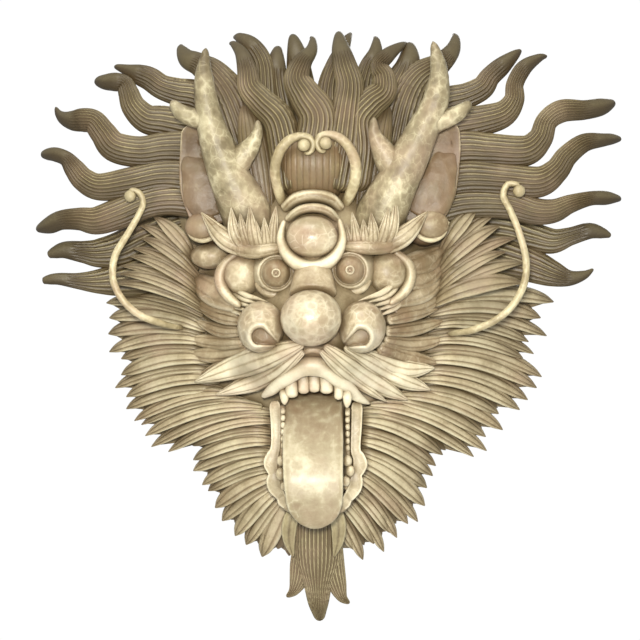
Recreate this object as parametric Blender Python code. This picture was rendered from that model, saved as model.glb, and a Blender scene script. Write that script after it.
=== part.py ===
"""Carved dragon-head wall plaque: one wooden relief, with antlers, whiskers and forehead curls set into it.

Run with: blender --background --python part.py
Metres, +Z up. The plaque faces -Y, and its flat back lies in the wall plane y = 0.
The origin is the hanging point on the back, behind the forehead.
"""
import math

import bmesh
import bpy
import numpy as np
from mathutils import Matrix, Vector

# Driving sizes, in metres
PLAQUE_HEIGHT = 0.94        # from the highest to the lowest tip, as drawn on the wall plane
VIEW_DISTANCE = 2.4         # the drawing shows the plaque as an eye this far from the wall sees it
HANG_HEIGHT = 0.24          # the hanging point above the drawing's eye line
FIT_GAP = 0.0004            # clearance round each piece that is set into the relief

# The carver's squared drawing: x in squares from its left edge, y in squares down from its top edge.
# Widths and depths off the wall are in the same squares, so each form is a share of the plaque's height.
DRAWN_HEIGHT = 588
AXIS_X = 313
EYE_LINE_Y = 320
SQUARE = PLAQUE_HEIGHT / DRAWN_HEIGHT
GAP_SQUARES = FIT_GAP / SQUARE
HEXAGON_EASE = 1.2          # a six-sided socket is this much wider at its corners, to clear its flats

# The glued block under the carving, as its outline round a middle point and its depth
BLOCK_MIDDLE = (320, 290)
BLOCK_OUTLINE = [
    (320, 105), (375, 104), (440, 112), (470, 140), (482, 178), (490, 222), (518, 300), (512, 350),
    (505, 395), (470, 432), (432, 458), (412, 500), (384, 528), (350, 540), (313, 545), (280, 540),
    (243, 516), (212, 470), (168, 436), (142, 398), (136, 350), (136, 300), (152, 222), (162, 178),
    (176, 142), (210, 112), (265, 104),
]
BLOCK_RINGS = (0.97, 0.82, 0.66, 0.50, 0.34, 0.16)
BLOCK_BACK_DEPTH = 4
HAIR_LINE_Y = 200           # above this line the block's rim carries hair and no leaves
HAIR_ROOT_SHARE = 0.6
BLOCK_SINK = 3              # how far the plain block lies under the leaves of the ruff
ROOT_COVER = 1.06           # the block just covers the leaves' roots
RIM_DEPTH = 16
CROWN_DEPTH = 88
# Each swell of the block: centre x and y, reach in x and y, and height
SWELLS = [
    (320, 150, 190, 110, 30),       # hair behind the antlers
    (313, 285, 118, 105, 36),       # face
    (313, 335, 85, 55, 24),         # muzzle
]

# Sections of a swept form: across the form, and up off the wall, both from -1 to 1
LOCK_SECTION = [(math.cos(math.pi * k / 3), math.sin(math.pi * k / 3)) for k in range(6)]
ROUND_SECTION = [(math.cos(math.pi * k / 4), math.sin(math.pi * k / 4)) for k in range(8)]
BLADE_SECTION = [(1, 0), (0, 0.95), (-1, 0), (0, -1)]
TOOTH_SECTION = [(0.9, 0.7), (-0.9, 0.7), (-0.9, -0.7), (0.9, -0.7)]
DISH_SECTION = [(1, 0), (0.8, 1), (0.3, 0.45), (-0.3, 0.45), (-0.8, 1), (-1, 0), (0, -1)]

# Mane locks: lift of the root above the block, depth of the tip, and x, y and width at each bend, root first
FRONT_LIFT = 2
FRONT_TIP = 40
BACK_LIFT = -12
BACK_TIP = 24
LOCK_ARCH = 12              # how far a lock bows forward between its root and its tip
LOCK_FLATNESS = 0.85        # thickness of a lock for its width
LOCKS_BEHIND = [
    [(248, 150, 44), (230, 104, 42), (213, 76, 30), (197, 62, 20), (181, 44, 3)],
    [(268, 140, 30), (264, 95, 26), (262, 65, 20), (250, 47, 15), (233, 36, 3)],
    [(285, 130, 26), (278, 85, 20), (279, 64, 16), (278, 46, 3)],
    [(305, 110, 30), (300, 78, 24), (297, 55, 16), (292, 34, 3)],
    [(332, 130, 30), (330, 92, 26), (336, 66, 18), (351, 33, 3)],
    [(358, 130, 30), (362, 92, 24), (368, 68, 18), (375, 54, 13), (375, 37, 3)],
    [(380, 140, 40), (398, 92, 36), (408, 66, 22), (407, 44, 3)],
    [(395, 150, 44), (405, 105, 42), (418, 80, 34), (440, 64, 22), (452, 51, 14), (454, 34, 3)],
]
LOCKS_IN_FRONT = [
    [(225, 118, 34), (200, 97, 28), (178, 92, 24), (160, 87, 22), (150, 77, 19), (138, 73, 18), (115, 66, 3)],
    [(225, 135, 36), (195, 128, 34), (165, 122, 30), (143, 118, 28), (129, 107, 22), (125, 92, 16),
     (115, 83, 15), (97, 79, 3)],
    [(222, 158, 38), (190, 150, 36), (165, 149, 32), (140, 152, 30), (115, 147, 29), (102, 132, 25),
     (91, 120, 22), (75, 117, 18), (55, 106, 3)],
    [(215, 185, 38), (185, 178, 36), (160, 177, 32), (130, 183, 30), (100, 187, 25), (82, 179, 23),
     (70, 166, 20), (59, 156, 12), (42, 152, 3)],
    [(215, 205, 36), (180, 198, 34), (150, 201, 28), (120, 212, 26), (97, 221, 23), (80, 219, 21),
     (62, 220, 19), (50, 225, 15), (37, 229, 3)],
    [(195, 222, 32), (150, 229, 28), (125, 240, 24), (105, 247, 22), (85, 249, 17), (66, 250, 14),
     (47, 256, 3)],
    [(195, 250, 32), (150, 264, 28), (120, 275, 25), (98, 280, 22), (78, 281, 16), (60, 279, 11),
     (42, 281, 3)],
    [(425, 118, 34), (445, 102, 28), (466, 96, 25), (482, 88, 23), (490, 77, 20), (502, 66, 16), (521, 50, 3)],
    [(420, 135, 36), (452, 126, 34), (480, 121, 30), (503, 114, 26), (514, 100, 20), (515, 84, 17),
     (524, 68, 14), (547, 56, 3)],
    [(425, 158, 38), (460, 149, 36), (490, 150, 32), (524, 151, 30), (540, 139, 24), (547, 121, 21),
     (561, 111, 22), (585, 109, 18), (613, 100, 3)],
    [(430, 185, 38), (465, 178, 36), (505, 180, 32), (538, 182, 30), (556, 171, 24), (567, 156, 21),
     (582, 144, 18), (602, 141, 13), (622, 142, 3)],
    [(430, 210, 36), (465, 202, 34), (505, 203, 30), (534, 211, 26), (553, 211, 23), (570, 204, 18),
     (592, 199, 14), (620, 200, 3)],
    [(450, 225, 34), (500, 226, 28), (530, 236, 24), (552, 241, 23), (571, 237, 17), (589, 232, 13),
     (612, 236, 3)],
    [(455, 245, 32), (500, 255, 28), (532, 266, 26), (553, 274, 22), (572, 277, 14), (593, 269, 3)],
    [(292, 192, 34), (286, 150, 32), (279, 120, 30), (262, 102, 26), (250, 88, 23), (247, 70, 19),
     (242, 54, 12), (230, 43, 3)],
    [(313, 192, 36), (314, 150, 38), (318, 118, 38), (306, 97, 32), (297, 80, 26), (302, 63, 19),
     (311, 51, 11), (311, 37, 3)],
    [(335, 192, 34), (342, 150, 36), (347, 112, 32), (350, 86, 27), (345, 66, 23), (341, 50, 16),
     (339, 32, 3)],
    [(352, 192, 34), (358, 150, 34), (357, 120, 32), (370, 103, 29), (383, 92, 25), (384, 78, 22), (379, 66, 17),
     (388, 55, 13), (407, 43, 3)],
]

# Ruff: the tips of its leaves down each side, and the line on which their roots lie
LEFT_TIPS = [
    (154, 217), (140, 225), (141, 238), (132, 248), (129, 256), (120, 266), (118, 274), (113, 284), (128, 296),
    (106, 303), (109, 318), (108, 334), (109, 352), (121, 359), (121, 375), (115, 388), (126, 397), (126, 409),
    (134, 421), (141, 425), (145, 436), (151, 447), (168, 452), (193, 446), (193, 460), (193, 471), (202, 485),
    (208, 491), (215, 508), (222, 521), (235, 536), (246, 545), (262, 557), (289, 556), (296, 550),
]
LEFT_ROOTS = [(195, 236), (200, 270), (195, 305), (196, 345), (212, 388), (262, 412), (266, 455),
              (272, 490), (302, 512)]
RIGHT_TIPS = [
    (478, 207), (495, 214), (500, 226), (516, 238), (506, 252), (524, 263), (524, 283), (554, 302), (541, 318),
    (547, 336), (529, 342), (534, 354), (523, 358), (542, 377), (537, 388), (528, 400), (520, 410), (499, 414),
    (503, 430), (486, 437), (487, 451), (474, 457), (443, 455), (436, 466), (433, 476), (427, 488), (425, 506),
    (418, 522), (408, 524), (397, 538), (390, 533), (384, 552), (374, 544), (363, 560), (354, 550),
]
RIGHT_ROOTS = [(442, 232), (436, 270), (440, 305), (440, 345), (425, 388), (368, 412), (362, 455),
               (356, 490), (328, 512)]
LEAF_BOW = 0.05             # upward bow of a leaf, as a share of its length
LEAF_CRESTS = (10, 5)       # every other leaf lies lower, behind its neighbours
LEAF_VALLEY = -1
VALLEY_REACH = 0.84         # where two leaves part, as a share of their length
LEAF_STATIONS = (1.0, 0.82, 0.42, 0.05)
LEAF_TIP_DEPTH = 15
LEAF_BACK_SHARE = 0.93      # the tips are cut back towards the wall
LEAF_ROOT_SHARE = -0.12     # the leaves' roots end inside the block
LEAF_ROOT_DEPTH = 30

TUFT_FLATNESS = 1.15

# Tufts on the face: width, lift of the root and of the tip above the block, and the root, a bend and the tip
TUFTS = [
    (17, 14, 24, (240, 242), (224, 229), (204, 212)),       # brow flames, left
    (10, 14, 30, (243, 243), (233, 222), (231, 199)),
    (9, 14, 30, (249, 243), (243, 228), (240, 210)),
    (10, 14, 28, (253, 242), (252, 224), (250, 203)),
    (9, 14, 24, (262, 243), (260, 230), (259, 214)),
    (10, 14, 20, (268, 246), (270, 230), (276, 208)),
    (17, 14, 24, (385, 240), (405, 226), (428, 210)),       # brow flames, right
    (10, 14, 30, (382, 240), (390, 218), (396, 193)),
    (9, 14, 30, (376, 240), (381, 224), (386, 206)),
    (9, 14, 28, (366, 241), (369, 228), (374, 212)),
    (10, 14, 22, (360, 243), (359, 230), (361, 214)),
    (18, 4, 6, (240, 302), (214, 286), (188, 270)),         # cheek leaves, left
    (17, 2, 4, (240, 314), (212, 303), (187, 291)),
    (12, 6, 8, (242, 321), (222, 317), (198, 309)),
    (13, 3, 6, (242, 331), (220, 330), (194, 320)),
    (15, 3, 5, (242, 342), (215, 342), (182, 338)),
    (16, 5, 7, (248, 350), (217, 355), (184, 353)),
    (14, 6, 9, (262, 354), (232, 362), (200, 374)),
    (18, 4, 6, (394, 299), (424, 283), (450, 264)),         # cheek leaves, right
    (17, 2, 4, (392, 311), (424, 302), (450, 284)),
    (13, 6, 8, (388, 320), (412, 314), (438, 309)),
    (14, 3, 6, (386, 331), (415, 328), (447, 320)),
    (15, 3, 5, (384, 340), (415, 344), (450, 338)),
    (17, 6, 9, (378, 347), (410, 359), (439, 363)),
    (22, 10, 22, (296, 352), (247, 366), (192, 382)),       # moustache, left
    (20, 8, 20, (292, 358), (262, 380), (214, 395)),
    (19, 8, 16, (368, 352), (400, 371), (434, 379)),        # moustache, right
    (18, 9, 20, (352, 352), (389, 381), (429, 389)),
    (20, 10, 24, (338, 356), (366, 384), (404, 402)),
]

# Parts of the face: x, y, depth and width along each form
BROWS = [
    [(286, 243, 118, 12), (266, 242, 116, 17), (245, 240, 110, 19), (226, 230, 104, 12)],
    [(340, 243, 118, 12), (361, 241, 116, 17), (382, 238, 110, 19), (404, 226, 104, 12)],
]
FOREHEAD_RINGS = [
    [(289, 193, 90, 8), (299, 187, 95, 9), (313, 184, 97, 9), (327, 187, 95, 9), (338, 193, 90, 8)],
    [(285, 208, 96, 11), (297, 199, 105, 13), (313, 196, 108, 13), (329, 199, 105, 13), (340, 208, 96, 11)],
    [(288, 220, 104, 8), (299, 211, 113, 9), (313, 208, 116, 9), (327, 211, 113, 9), (337, 220, 104, 8)],
]
PEARL = (312, 237, 118, 25, 22, 19)             # x, y, depth, and reach across, up and forward
PEARL_COLLAR = [(283, 219, 118, 5), (281, 240, 120, 7), (291, 259, 121, 11), (312, 268, 122, 13),
                (332, 259, 121, 11), (342, 240, 120, 7), (340, 217, 118, 5)]
EYES = [(275, 273), (351, 270)]
EYE_BALL = (112, 14.5, 14.5, 16)                # depth, and reach across, up and forward
EYE_LID_RADIUS = 17
EYE_LID_WIDTH = 5
EYE_LID_DEPTH = 117
EYE_LID_STEPS = 8
EYE_LID_START = 0.32                            # where the lid begins, as a share of a turn
EYE_LID_TURN = 0.86                             # how far round the eye it goes
PUPIL_REACH = (128, 5, 5, 3)
NOSE_BRIDGE = [(313, 250, 108, 24), (313, 272, 118, 36), (313, 296, 132, 44)]
NOSE = (312, 318, 140, 30, 28, 31)
NOSTRIL_WINGS = [(262, 328, 124, 24, 25, 23), (361, 327, 124, 24, 25, 23)]
NOSTRIL_HOLES = [
    [(254, 338, 146, 13), (263, 337, 149, 18), (272, 341, 148, 11), (279, 346, 144, 4)],
    [(367, 337, 146, 13), (358, 338, 149, 18), (349, 342, 148, 11), (342, 346, 144, 4)],
]
NOSTRIL_HOLE_FLATNESS = 1.0
CHEEK_RIDGES = [
    [(238, 252, 108, 6), (224, 265, 106, 7), (221, 280, 105, 7), (228, 295, 108, 7), (241, 306, 114, 5)],
    [(246, 262, 106, 6), (250, 284, 110, 8), (266, 298, 116, 8)],
    [(394, 251, 108, 6), (407, 264, 106, 7), (409, 279, 105, 7), (402, 293, 108, 7), (389, 304, 114, 5)],
    [(379, 262, 106, 6), (377, 283, 110, 8), (360, 296, 116, 8)],
]
CHEEK_BULGES = [(238, 275, 98, 15, 24, 15), (391, 273, 98, 15, 24, 15)]
EAR_SHELLS = [
    [(220, 226, 84, 34), (206, 190, 82, 42), (200, 162, 80, 36), (194, 148, 78, 24), (191, 137, 74, 10)],
    [(412, 226, 84, 34), (428, 190, 82, 46), (439, 162, 80, 36), (446, 144, 78, 24), (447, 132, 74, 10)],
]
EAR_LOBES = [(201, 228, 68, 17, 15, 18), (431, 226, 68, 18, 16, 18), (212, 260, 72, 15, 13, 18),
             (426, 258, 72, 18, 14, 18)]
UPPER_LIP = [(259, 398, 84, 5), (270, 389, 94, 11), (281, 379, 103, 14), (294, 371, 110, 17), (312, 367, 114, 20),
             (328, 370, 110, 18), (341, 379, 103, 14), (353, 389, 94, 12), (364, 398, 86, 9), (378, 404, 78, 4)]
LIP_FLATNESS = 0.9
JAW_LIPS = [
    [(276, 398, 84, 11), (277, 430, 90, 13), (274, 447, 92, 15), (272, 461, 92, 18), (275, 478, 92, 16),
     (280, 490, 90, 15), (288, 500, 86, 11), (296, 507, 80, 5)],
    [(357, 400, 84, 11), (354, 430, 90, 13), (355, 450, 92, 14), (358, 465, 92, 18), (354, 478, 92, 16),
     (352, 490, 90, 15), (343, 500, 86, 11), (334, 507, 80, 5)],
]
TONGUE = [(313, 394, 62, 50), (313, 408, 82, 56), (313, 440, 97, 57), (313, 470, 106, 56), (314, 494, 109, 54),
          (315, 512, 106, 42), (315, 524, 98, 16)]
TONGUE_THICKNESS = 12
# Upper teeth: x and y of the root, then of the crown, and width; the first and the last are fangs
TEETH = [(281, 388, 284, 408, 9), (289, 378, 292, 398, 12), (301, 372, 303, 391, 11),
         (314, 370, 314, 390, 11), (326, 371, 327, 392, 12), (337, 380, 338, 399, 8),
         (347, 388, 347, 410, 9)]
TEETH_DEPTH = 100
# Rows of lower teeth: x, first y, pitch, count, width and depth
LOWER_TEETH = [(283, 408, 10, 5, 9, 92), (281, 460, 13, 2, 11, 94), (346, 410, 10, 5, 9, 92),
               (348, 462, 13, 2, 11, 94)]
BEARD = [
    [(308, 505, 44, 26), (302, 545, 32, 22), (297, 572, 26, 19), (286, 598, 18, 4)],
    [(324, 505, 44, 26), (331, 545, 32, 24), (336, 576, 26, 19), (349, 604, 18, 4)],
    [(315, 500, 50, 34), (316, 545, 38, 30), (316, 585, 30, 26), (318, 606, 24, 18), (321, 622, 16, 4)],
]

# Pieces set into the relief: x, y, depth and width along each form, root first
ANTLERS = {
    "antler_left": [
        [(256, 238, 82, 40), (243, 208, 96, 42), (230, 178, 104, 39), (219, 150, 109, 33), (211, 125, 113, 27),
         (206, 100, 116, 22), (204, 80, 117, 18), (204, 66, 117, 13), (206, 48, 116, 3)],
        [(230, 172, 104, 28), (241, 158, 109, 24), (251, 146, 113, 17), (257, 134, 116, 11), (258, 120, 118, 3)],
        [(207, 119, 113, 22), (192, 117, 113, 18), (181, 112, 113, 15), (171, 101, 112, 5)],
    ],
    "antler_right": [
        [(370, 236, 82, 42), (382, 212, 96, 43), (394, 188, 103, 41), (405, 166, 107, 38), (416, 144, 111, 33),
         (427, 121, 114, 28), (435, 103, 116, 25), (438, 87, 117, 22), (439, 72, 117, 17), (437, 58, 117, 13),
         (433, 41, 116, 3)],
        [(397, 174, 105, 30), (386, 156, 109, 25), (378, 142, 113, 17), (374, 131, 116, 11), (374, 117, 118, 3)],
        [(432, 122, 113, 24), (449, 117, 113, 18), (461, 111, 113, 14), (471, 102, 112, 5)],
    ],
}
WHISKERS = {
    "whisker_left": [(188, 329, 42, 7), (172, 326, 74, 7), (157, 322, 86, 7), (138, 314, 92, 7), (122, 299, 94, 7),
                     (113, 279, 94, 7), (115, 256, 94, 7), (127, 235, 95, 7), (137, 218, 96, 7), (143, 204, 97, 7),
                     (140, 193, 98, 7), (132, 191, 99, 6)],
    "whisker_right": [(442, 335, 42, 7), (456, 333, 74, 7), (472, 330, 86, 7), (494, 321, 92, 7), (512, 306, 94, 7),
                      (524, 284, 94, 7), (526, 260, 94, 7), (519, 232, 95, 7), (510, 210, 96, 7), (504, 196, 97, 7),
                      (507, 186, 98, 7), (516, 184, 99, 6)],
}
WHISKER_BALLS = {"whisker_left": (130, 196, 99, 6), "whisker_right": (519, 190, 99, 6)}
CURLS = {
    "forehead_curl_left": [(289, 214, 84, 10), (279, 192, 106, 10), (275, 170, 116, 9), (279, 153, 122, 9),
                           (290, 141, 126, 9), (303, 137, 129, 7)],
    "forehead_curl_right": [(339, 214, 84, 10), (351, 192, 106, 10), (356, 170, 116, 10), (352, 153, 122, 9),
                            (341, 140, 126, 9), (327, 135, 129, 7)],
}
CURL_BALLS = {"forehead_curl_left": (304, 145, 129, 8), "forehead_curl_right": (325, 143, 129, 8)}

FACETS_KEPT = 0.50          # share of the facets kept, once the splinters along the joins are gone
SMOOTH_ANGLE = math.radians(35)

WOOD_COLOUR = (0.36, 0.30, 0.17, 1)
PALE_WOOD_COLOUR = (0.46, 0.40, 0.25, 1)
WOOD_ROUGHNESS = 0.6


def at(x, y, depth):
    """The point that the drawing shows at square (x, y), this many squares off the wall."""
    shrink = 1 - depth * SQUARE / VIEW_DISTANCE
    across = (x - AXIS_X) * SQUARE * shrink
    up = (EYE_LINE_Y - y) * SQUARE * shrink - HANG_HEIGHT
    return Vector((across, -depth * SQUARE, up))


RIM_OFFSETS = [(x - BLOCK_MIDDLE[0], y - BLOCK_MIDDLE[1]) for x, y in BLOCK_OUTLINE]
RIM_ANGLES = [math.atan2(y, x) for x, y in RIM_OFFSETS]
RIM_RADII = [math.hypot(x, y) for x, y in RIM_OFFSETS]


def block_depth(x, y):
    """Depth of the glued block's front at square (x, y)."""
    dx, dy = x - BLOCK_MIDDLE[0], y - BLOCK_MIDDLE[1]
    rim = np.interp(math.atan2(dy, dx), RIM_ANGLES, RIM_RADII, period=2 * math.pi)
    share = min(math.hypot(dx, dy) / rim, 1)
    depth = RIM_DEPTH + (CROWN_DEPTH - RIM_DEPTH) * (1 - share ** 1.8)
    for centre_x, centre_y, reach_x, reach_y, height in SWELLS:
        reach = ((x - centre_x) / reach_x) ** 2 + ((y - centre_y) / reach_y) ** 2
        depth += height * max(0, 1 - reach)
    return depth


def smooth_rows(rows, steps):
    """Rows of numbers on a smooth curve through the given rows, with this many steps from row to row."""
    rows = np.array(rows, dtype=float)
    ends = np.vstack([2 * rows[0] - rows[1], rows, 2 * rows[-1] - rows[-2]])
    curve = []
    for a, b, c, d in zip(ends, ends[1:], ends[2:], ends[3:]):
        for t in np.arange(steps) / steps:
            curve.append(0.5 * (2 * b + (c - a) * t + (2 * a - 5 * b + 4 * c - d) * t ** 2
                                + (3 * b - a - 3 * c + d) * t ** 3))
    curve.append(rows[-1])
    return curve


def new_object(name, bm, collection):
    """Turn a bmesh into an object of the collection."""
    bmesh.ops.recalc_face_normals(bm, faces=bm.faces)
    bmesh.ops.triangulate(bm, faces=bm.faces)
    mesh = bpy.data.meshes.new(name)
    bm.to_mesh(mesh)
    bm.free()
    piece = bpy.data.objects.new(name, mesh)
    collection.objects.link(piece)
    return piece


def loft(name, rings, collection):
    """Closed body through rings of points, flat at both ends."""
    bm = bmesh.new()
    loops = [[bm.verts.new(point) for point in ring] for ring in rings]
    for near, far in zip(loops, loops[1:]):
        for k in range(len(near)):
            after = (k + 1) % len(near)
            bm.faces.new((near[k], near[after], far[after], far[k]))
    bm.faces.new(loops[0])
    bm.faces.new(loops[-1])
    return new_object(name, bm, collection)


def sweep(name, rows, collection, section=ROUND_SECTION, steps=1, flatness=1.0, extra=0.0, level=False):
    """Body along rows of x, y, depth and width. extra thickens it, and level keeps its section level."""
    rows = smooth_rows(rows, steps)
    centres = [at(*row[:3]) for row in rows]
    rings = []
    for k, row in enumerate(rows):
        along = (centres[min(k + 1, len(rows) - 1)] - centres[max(k - 1, 0)]).normalized()
        across = Vector((1, 0, 0)) if level else Vector((0, 1, 0)).cross(along).normalized()
        up = across.cross(along).normalized()
        if up.y > 0:
            up.negate()
        half_width = (max(row[3], 1.5) / 2 + extra) * SQUARE
        half_depth = (max(row[3], 1.5) / 2 * flatness + extra) * SQUARE
        if level:
            half_depth = (flatness + extra) * SQUARE
        centre = centres[k]
        if extra and k in (0, len(rows) - 1):
            centre = centre + along * extra * SQUARE * (1 if k else -1)
        rings.append([centre + across * half_width * u + up * half_depth * v for u, v in section])
    return loft(name, rings, collection)


def ball(name, place, collection, segments=12):
    """Ball, as x, y, depth and its reach across, up and forward."""
    x, y, depth, reach_x, reach_y, reach_depth = place
    bm = bmesh.new()
    size = Matrix.Diagonal((reach_x * SQUARE, reach_depth * SQUARE, reach_y * SQUARE, 1))
    spot = Matrix.Translation(at(x, y, depth))
    quarter_turn = Matrix.Rotation(math.pi / 2, 4, "X")
    bmesh.ops.create_uvsphere(bm, u_segments=segments, v_segments=max(segments // 2, 4), radius=1,
                              matrix=spot @ size @ quarter_turn)
    return new_object(name, bm, collection)


def lock_rows(points, lift, tip_depth):
    """Rows of a mane lock, which leaves the block, bows forward and bends back to its tip."""
    root_depth = block_depth(*points[0][:2]) + lift
    rows = []
    for k, (x, y, width) in enumerate(points):
        share = k / (len(points) - 1)
        depth = root_depth + (tip_depth - root_depth) * share ** 1.5 + LOCK_ARCH * math.sin(math.pi * share)
        rows.append((x, y, depth, width))
    return rows


def along_line(points, share):
    """The point this share of the way down a line of evenly spaced points."""
    place = share * (len(points) - 1)
    xs, ys = zip(*points)
    return np.interp(place, range(len(points)), xs), np.interp(place, range(len(points)), ys)


def mix(start, end, share):
    """The point this share of the way from start to end."""
    return start[0] + (end[0] - start[0]) * share, start[1] + (end[1] - start[1]) * share


def leaf_rays(tips, roots):
    """Root, tip and lift of each leaf's crest down one side, with a valley between each two."""
    crests = []
    for k, tip in enumerate(tips):
        crests.append((along_line(roots, k / (len(tips) - 1)), tip, LEAF_CRESTS[k % 2]))
    rays = crests[:1]
    for here, after in zip(crests, crests[1:]):
        root = mix(here[0], after[0], 0.5)
        rim = mix(root, mix(here[1], after[1], 0.5), VALLEY_REACH)
        rays += [(root, rim, LEAF_VALLEY), after]
    return rays


def hairline():
    """The part of the block's outline that carries hair, from right to left."""
    rims = [rim for rim in BLOCK_OUTLINE if rim[1] < HAIR_LINE_Y]
    return sorted(rims, key=lambda rim: -rim[0])


def make_ruff(collection):
    """Long leaves that fan out from the cheeks and the jaw, with the flat back behind them."""
    hair_rays = [(mix(BLOCK_MIDDLE, rim, HAIR_ROOT_SHARE), rim, LEAF_VALLEY) for rim in hairline()]
    rays = leaf_rays(LEFT_TIPS, LEFT_ROOTS) + leaf_rays(RIGHT_TIPS, RIGHT_ROOTS)[::-1] + hair_rays
    rings = [[at(*mix(root, rim, LEAF_BACK_SHARE), 0) for root, rim, lift in rays]]
    for share in LEAF_STATIONS:
        ring = []
        for root, rim, lift in rays:
            x, y = mix(root, rim, share)
            y -= math.dist(root, rim) * LEAF_BOW * 4 * share * (1 - share)
            depth = LEAF_TIP_DEPTH if share == 1 else block_depth(x, y) + lift
            ring.append(at(x, y, depth))
        rings.append(ring)
    rings.append([at(*mix(root, rim, LEAF_ROOT_SHARE), LEAF_ROOT_DEPTH) for root, rim, lift in rays])
    return loft("dragon_head", rings, collection)


def make_block(collection):
    """The swelling block under the face and the hair."""
    roots = LEFT_ROOTS + RIGHT_ROOTS[::-1]
    rims = [mix(BLOCK_MIDDLE, root, ROOT_COVER) for root in roots] + hairline()
    rings = [[at(*mix(BLOCK_MIDDLE, rim, BLOCK_RINGS[0]), BLOCK_BACK_DEPTH) for rim in rims]]
    for share in BLOCK_RINGS:
        spots = [mix(BLOCK_MIDDLE, rim, share) for rim in rims]
        rings.append([at(x, y, block_depth(x, y) - BLOCK_SINK) for x, y in spots])
    return loft("block", rings, collection)


def carve_mane(collection):
    """Wavy locks: the dull ones behind, then the bright ones in front."""
    for k, points in enumerate(LOCKS_BEHIND):
        rows = lock_rows(points, BACK_LIFT, BACK_TIP)
        sweep(f"back_lock_{k}", rows, collection, LOCK_SECTION, flatness=LOCK_FLATNESS)
    for k, points in enumerate(LOCKS_IN_FRONT):
        rows = lock_rows(points, FRONT_LIFT, FRONT_TIP)
        sweep(f"front_lock_{k}", rows, collection, LOCK_SECTION, flatness=LOCK_FLATNESS)


def carve_face(collection):
    """Brows, forehead rings, pearl, eyes, nose, cheeks, ears and the tufts round them."""
    for k, (width, root_lift, tip_lift, root, bend, tip) in enumerate(TUFTS):
        rows = []
        for (x, y), share, swell in zip((root, bend, tip), (0, 0.5, 1), (0.8, 1, 0.1)):
            depth = block_depth(x, y) + root_lift + (tip_lift - root_lift) * share
            rows.append((x, y, depth, width * swell))
        sweep(f"tuft_{k}", rows, collection, BLADE_SECTION, steps=2 if width > 16 else 1, flatness=TUFT_FLATNESS)
    for k, rows in enumerate(BROWS):
        sweep(f"brow_{k}", rows, collection, LOCK_SECTION, flatness=1.3)
    for k, rows in enumerate(FOREHEAD_RINGS):
        sweep(f"forehead_ring_{k}", rows, collection, LOCK_SECTION, flatness=1.6)
    ball("pearl", PEARL, collection, 14)
    sweep("pearl_collar", PEARL_COLLAR, collection, flatness=1.2)
    for k, (x, y) in enumerate(EYES):
        ball(f"eye_{k}", (x, y, *EYE_BALL), collection, 10)
        ball(f"pupil_{k}", (x, y, *PUPIL_REACH), collection, 6)
        lid = []
        for step in range(EYE_LID_STEPS + 1):
            angle = 2 * math.pi * (step / EYE_LID_STEPS * EYE_LID_TURN + EYE_LID_START)
            lid.append((x + EYE_LID_RADIUS * math.cos(angle), y + EYE_LID_RADIUS * math.sin(angle),
                        EYE_LID_DEPTH, EYE_LID_WIDTH))
        sweep(f"eye_lid_{k}", lid, collection, BLADE_SECTION)
    sweep("nose_bridge", NOSE_BRIDGE, collection, steps=2, flatness=0.7)
    ball("nose", NOSE, collection, 16)
    for k, wing in enumerate(NOSTRIL_WINGS):
        ball(f"nostril_wing_{k}", wing, collection, 12)
    for k, rows in enumerate(CHEEK_RIDGES):
        sweep(f"cheek_ridge_{k}", rows, collection, LOCK_SECTION, flatness=1.4)
    for k, place in enumerate(CHEEK_BULGES):
        ball(f"cheek_bulge_{k}", place, collection, 8)
    for k, rows in enumerate(EAR_SHELLS):
        sweep(f"ear_shell_{k}", rows, collection, DISH_SECTION, flatness=0.55)
    for k, place in enumerate(EAR_LOBES):
        ball(f"ear_lobe_{k}", place, collection, 8)


def carve_mouth(collection):
    """Lips, teeth, tongue and the beard under the jaw."""
    sweep("upper_lip", UPPER_LIP, collection, flatness=LIP_FLATNESS)
    for k, rows in enumerate(JAW_LIPS):
        sweep(f"jaw_lip_{k}", rows, collection, flatness=1.1)
    sweep("tongue", TONGUE, collection, flatness=TONGUE_THICKNESS / 2, level=True)
    for k, (root_x, root_y, crown_x, crown_y, width) in enumerate(TEETH):
        fang = k in (0, len(TEETH) - 1)
        rows = [(root_x, root_y, TEETH_DEPTH, width), (crown_x, (root_y + crown_y) / 2, TEETH_DEPTH, width),
                (crown_x, crown_y, TEETH_DEPTH, 2 if fang else 0.7 * width)]
        sweep(f"tooth_{k}", rows, collection, TOOTH_SECTION)
    for k, (x, first_y, pitch, count, width, depth) in enumerate(LOWER_TEETH):
        rows = []
        for step in range(2 * count + 1):
            rows.append((x, first_y + step * pitch / 2, depth, width * (1 if step % 2 else 0.5)))
        sweep(f"lower_teeth_{k}", rows, collection, BLADE_SECTION, flatness=1.6)
    for k, rows in enumerate(BEARD):
        sweep(f"beard_{k}", rows, collection, LOCK_SECTION, flatness=0.7)


def add_boolean(piece, operation, collection):
    """Join the carvings of a collection to the piece, or cut them from it."""
    boolean = piece.modifiers.new(operation.title(), "BOOLEAN")
    boolean.operation = operation
    boolean.operand_type = "COLLECTION"
    boolean.collection = collection
    boolean.solver = "MANIFOLD"


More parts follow.
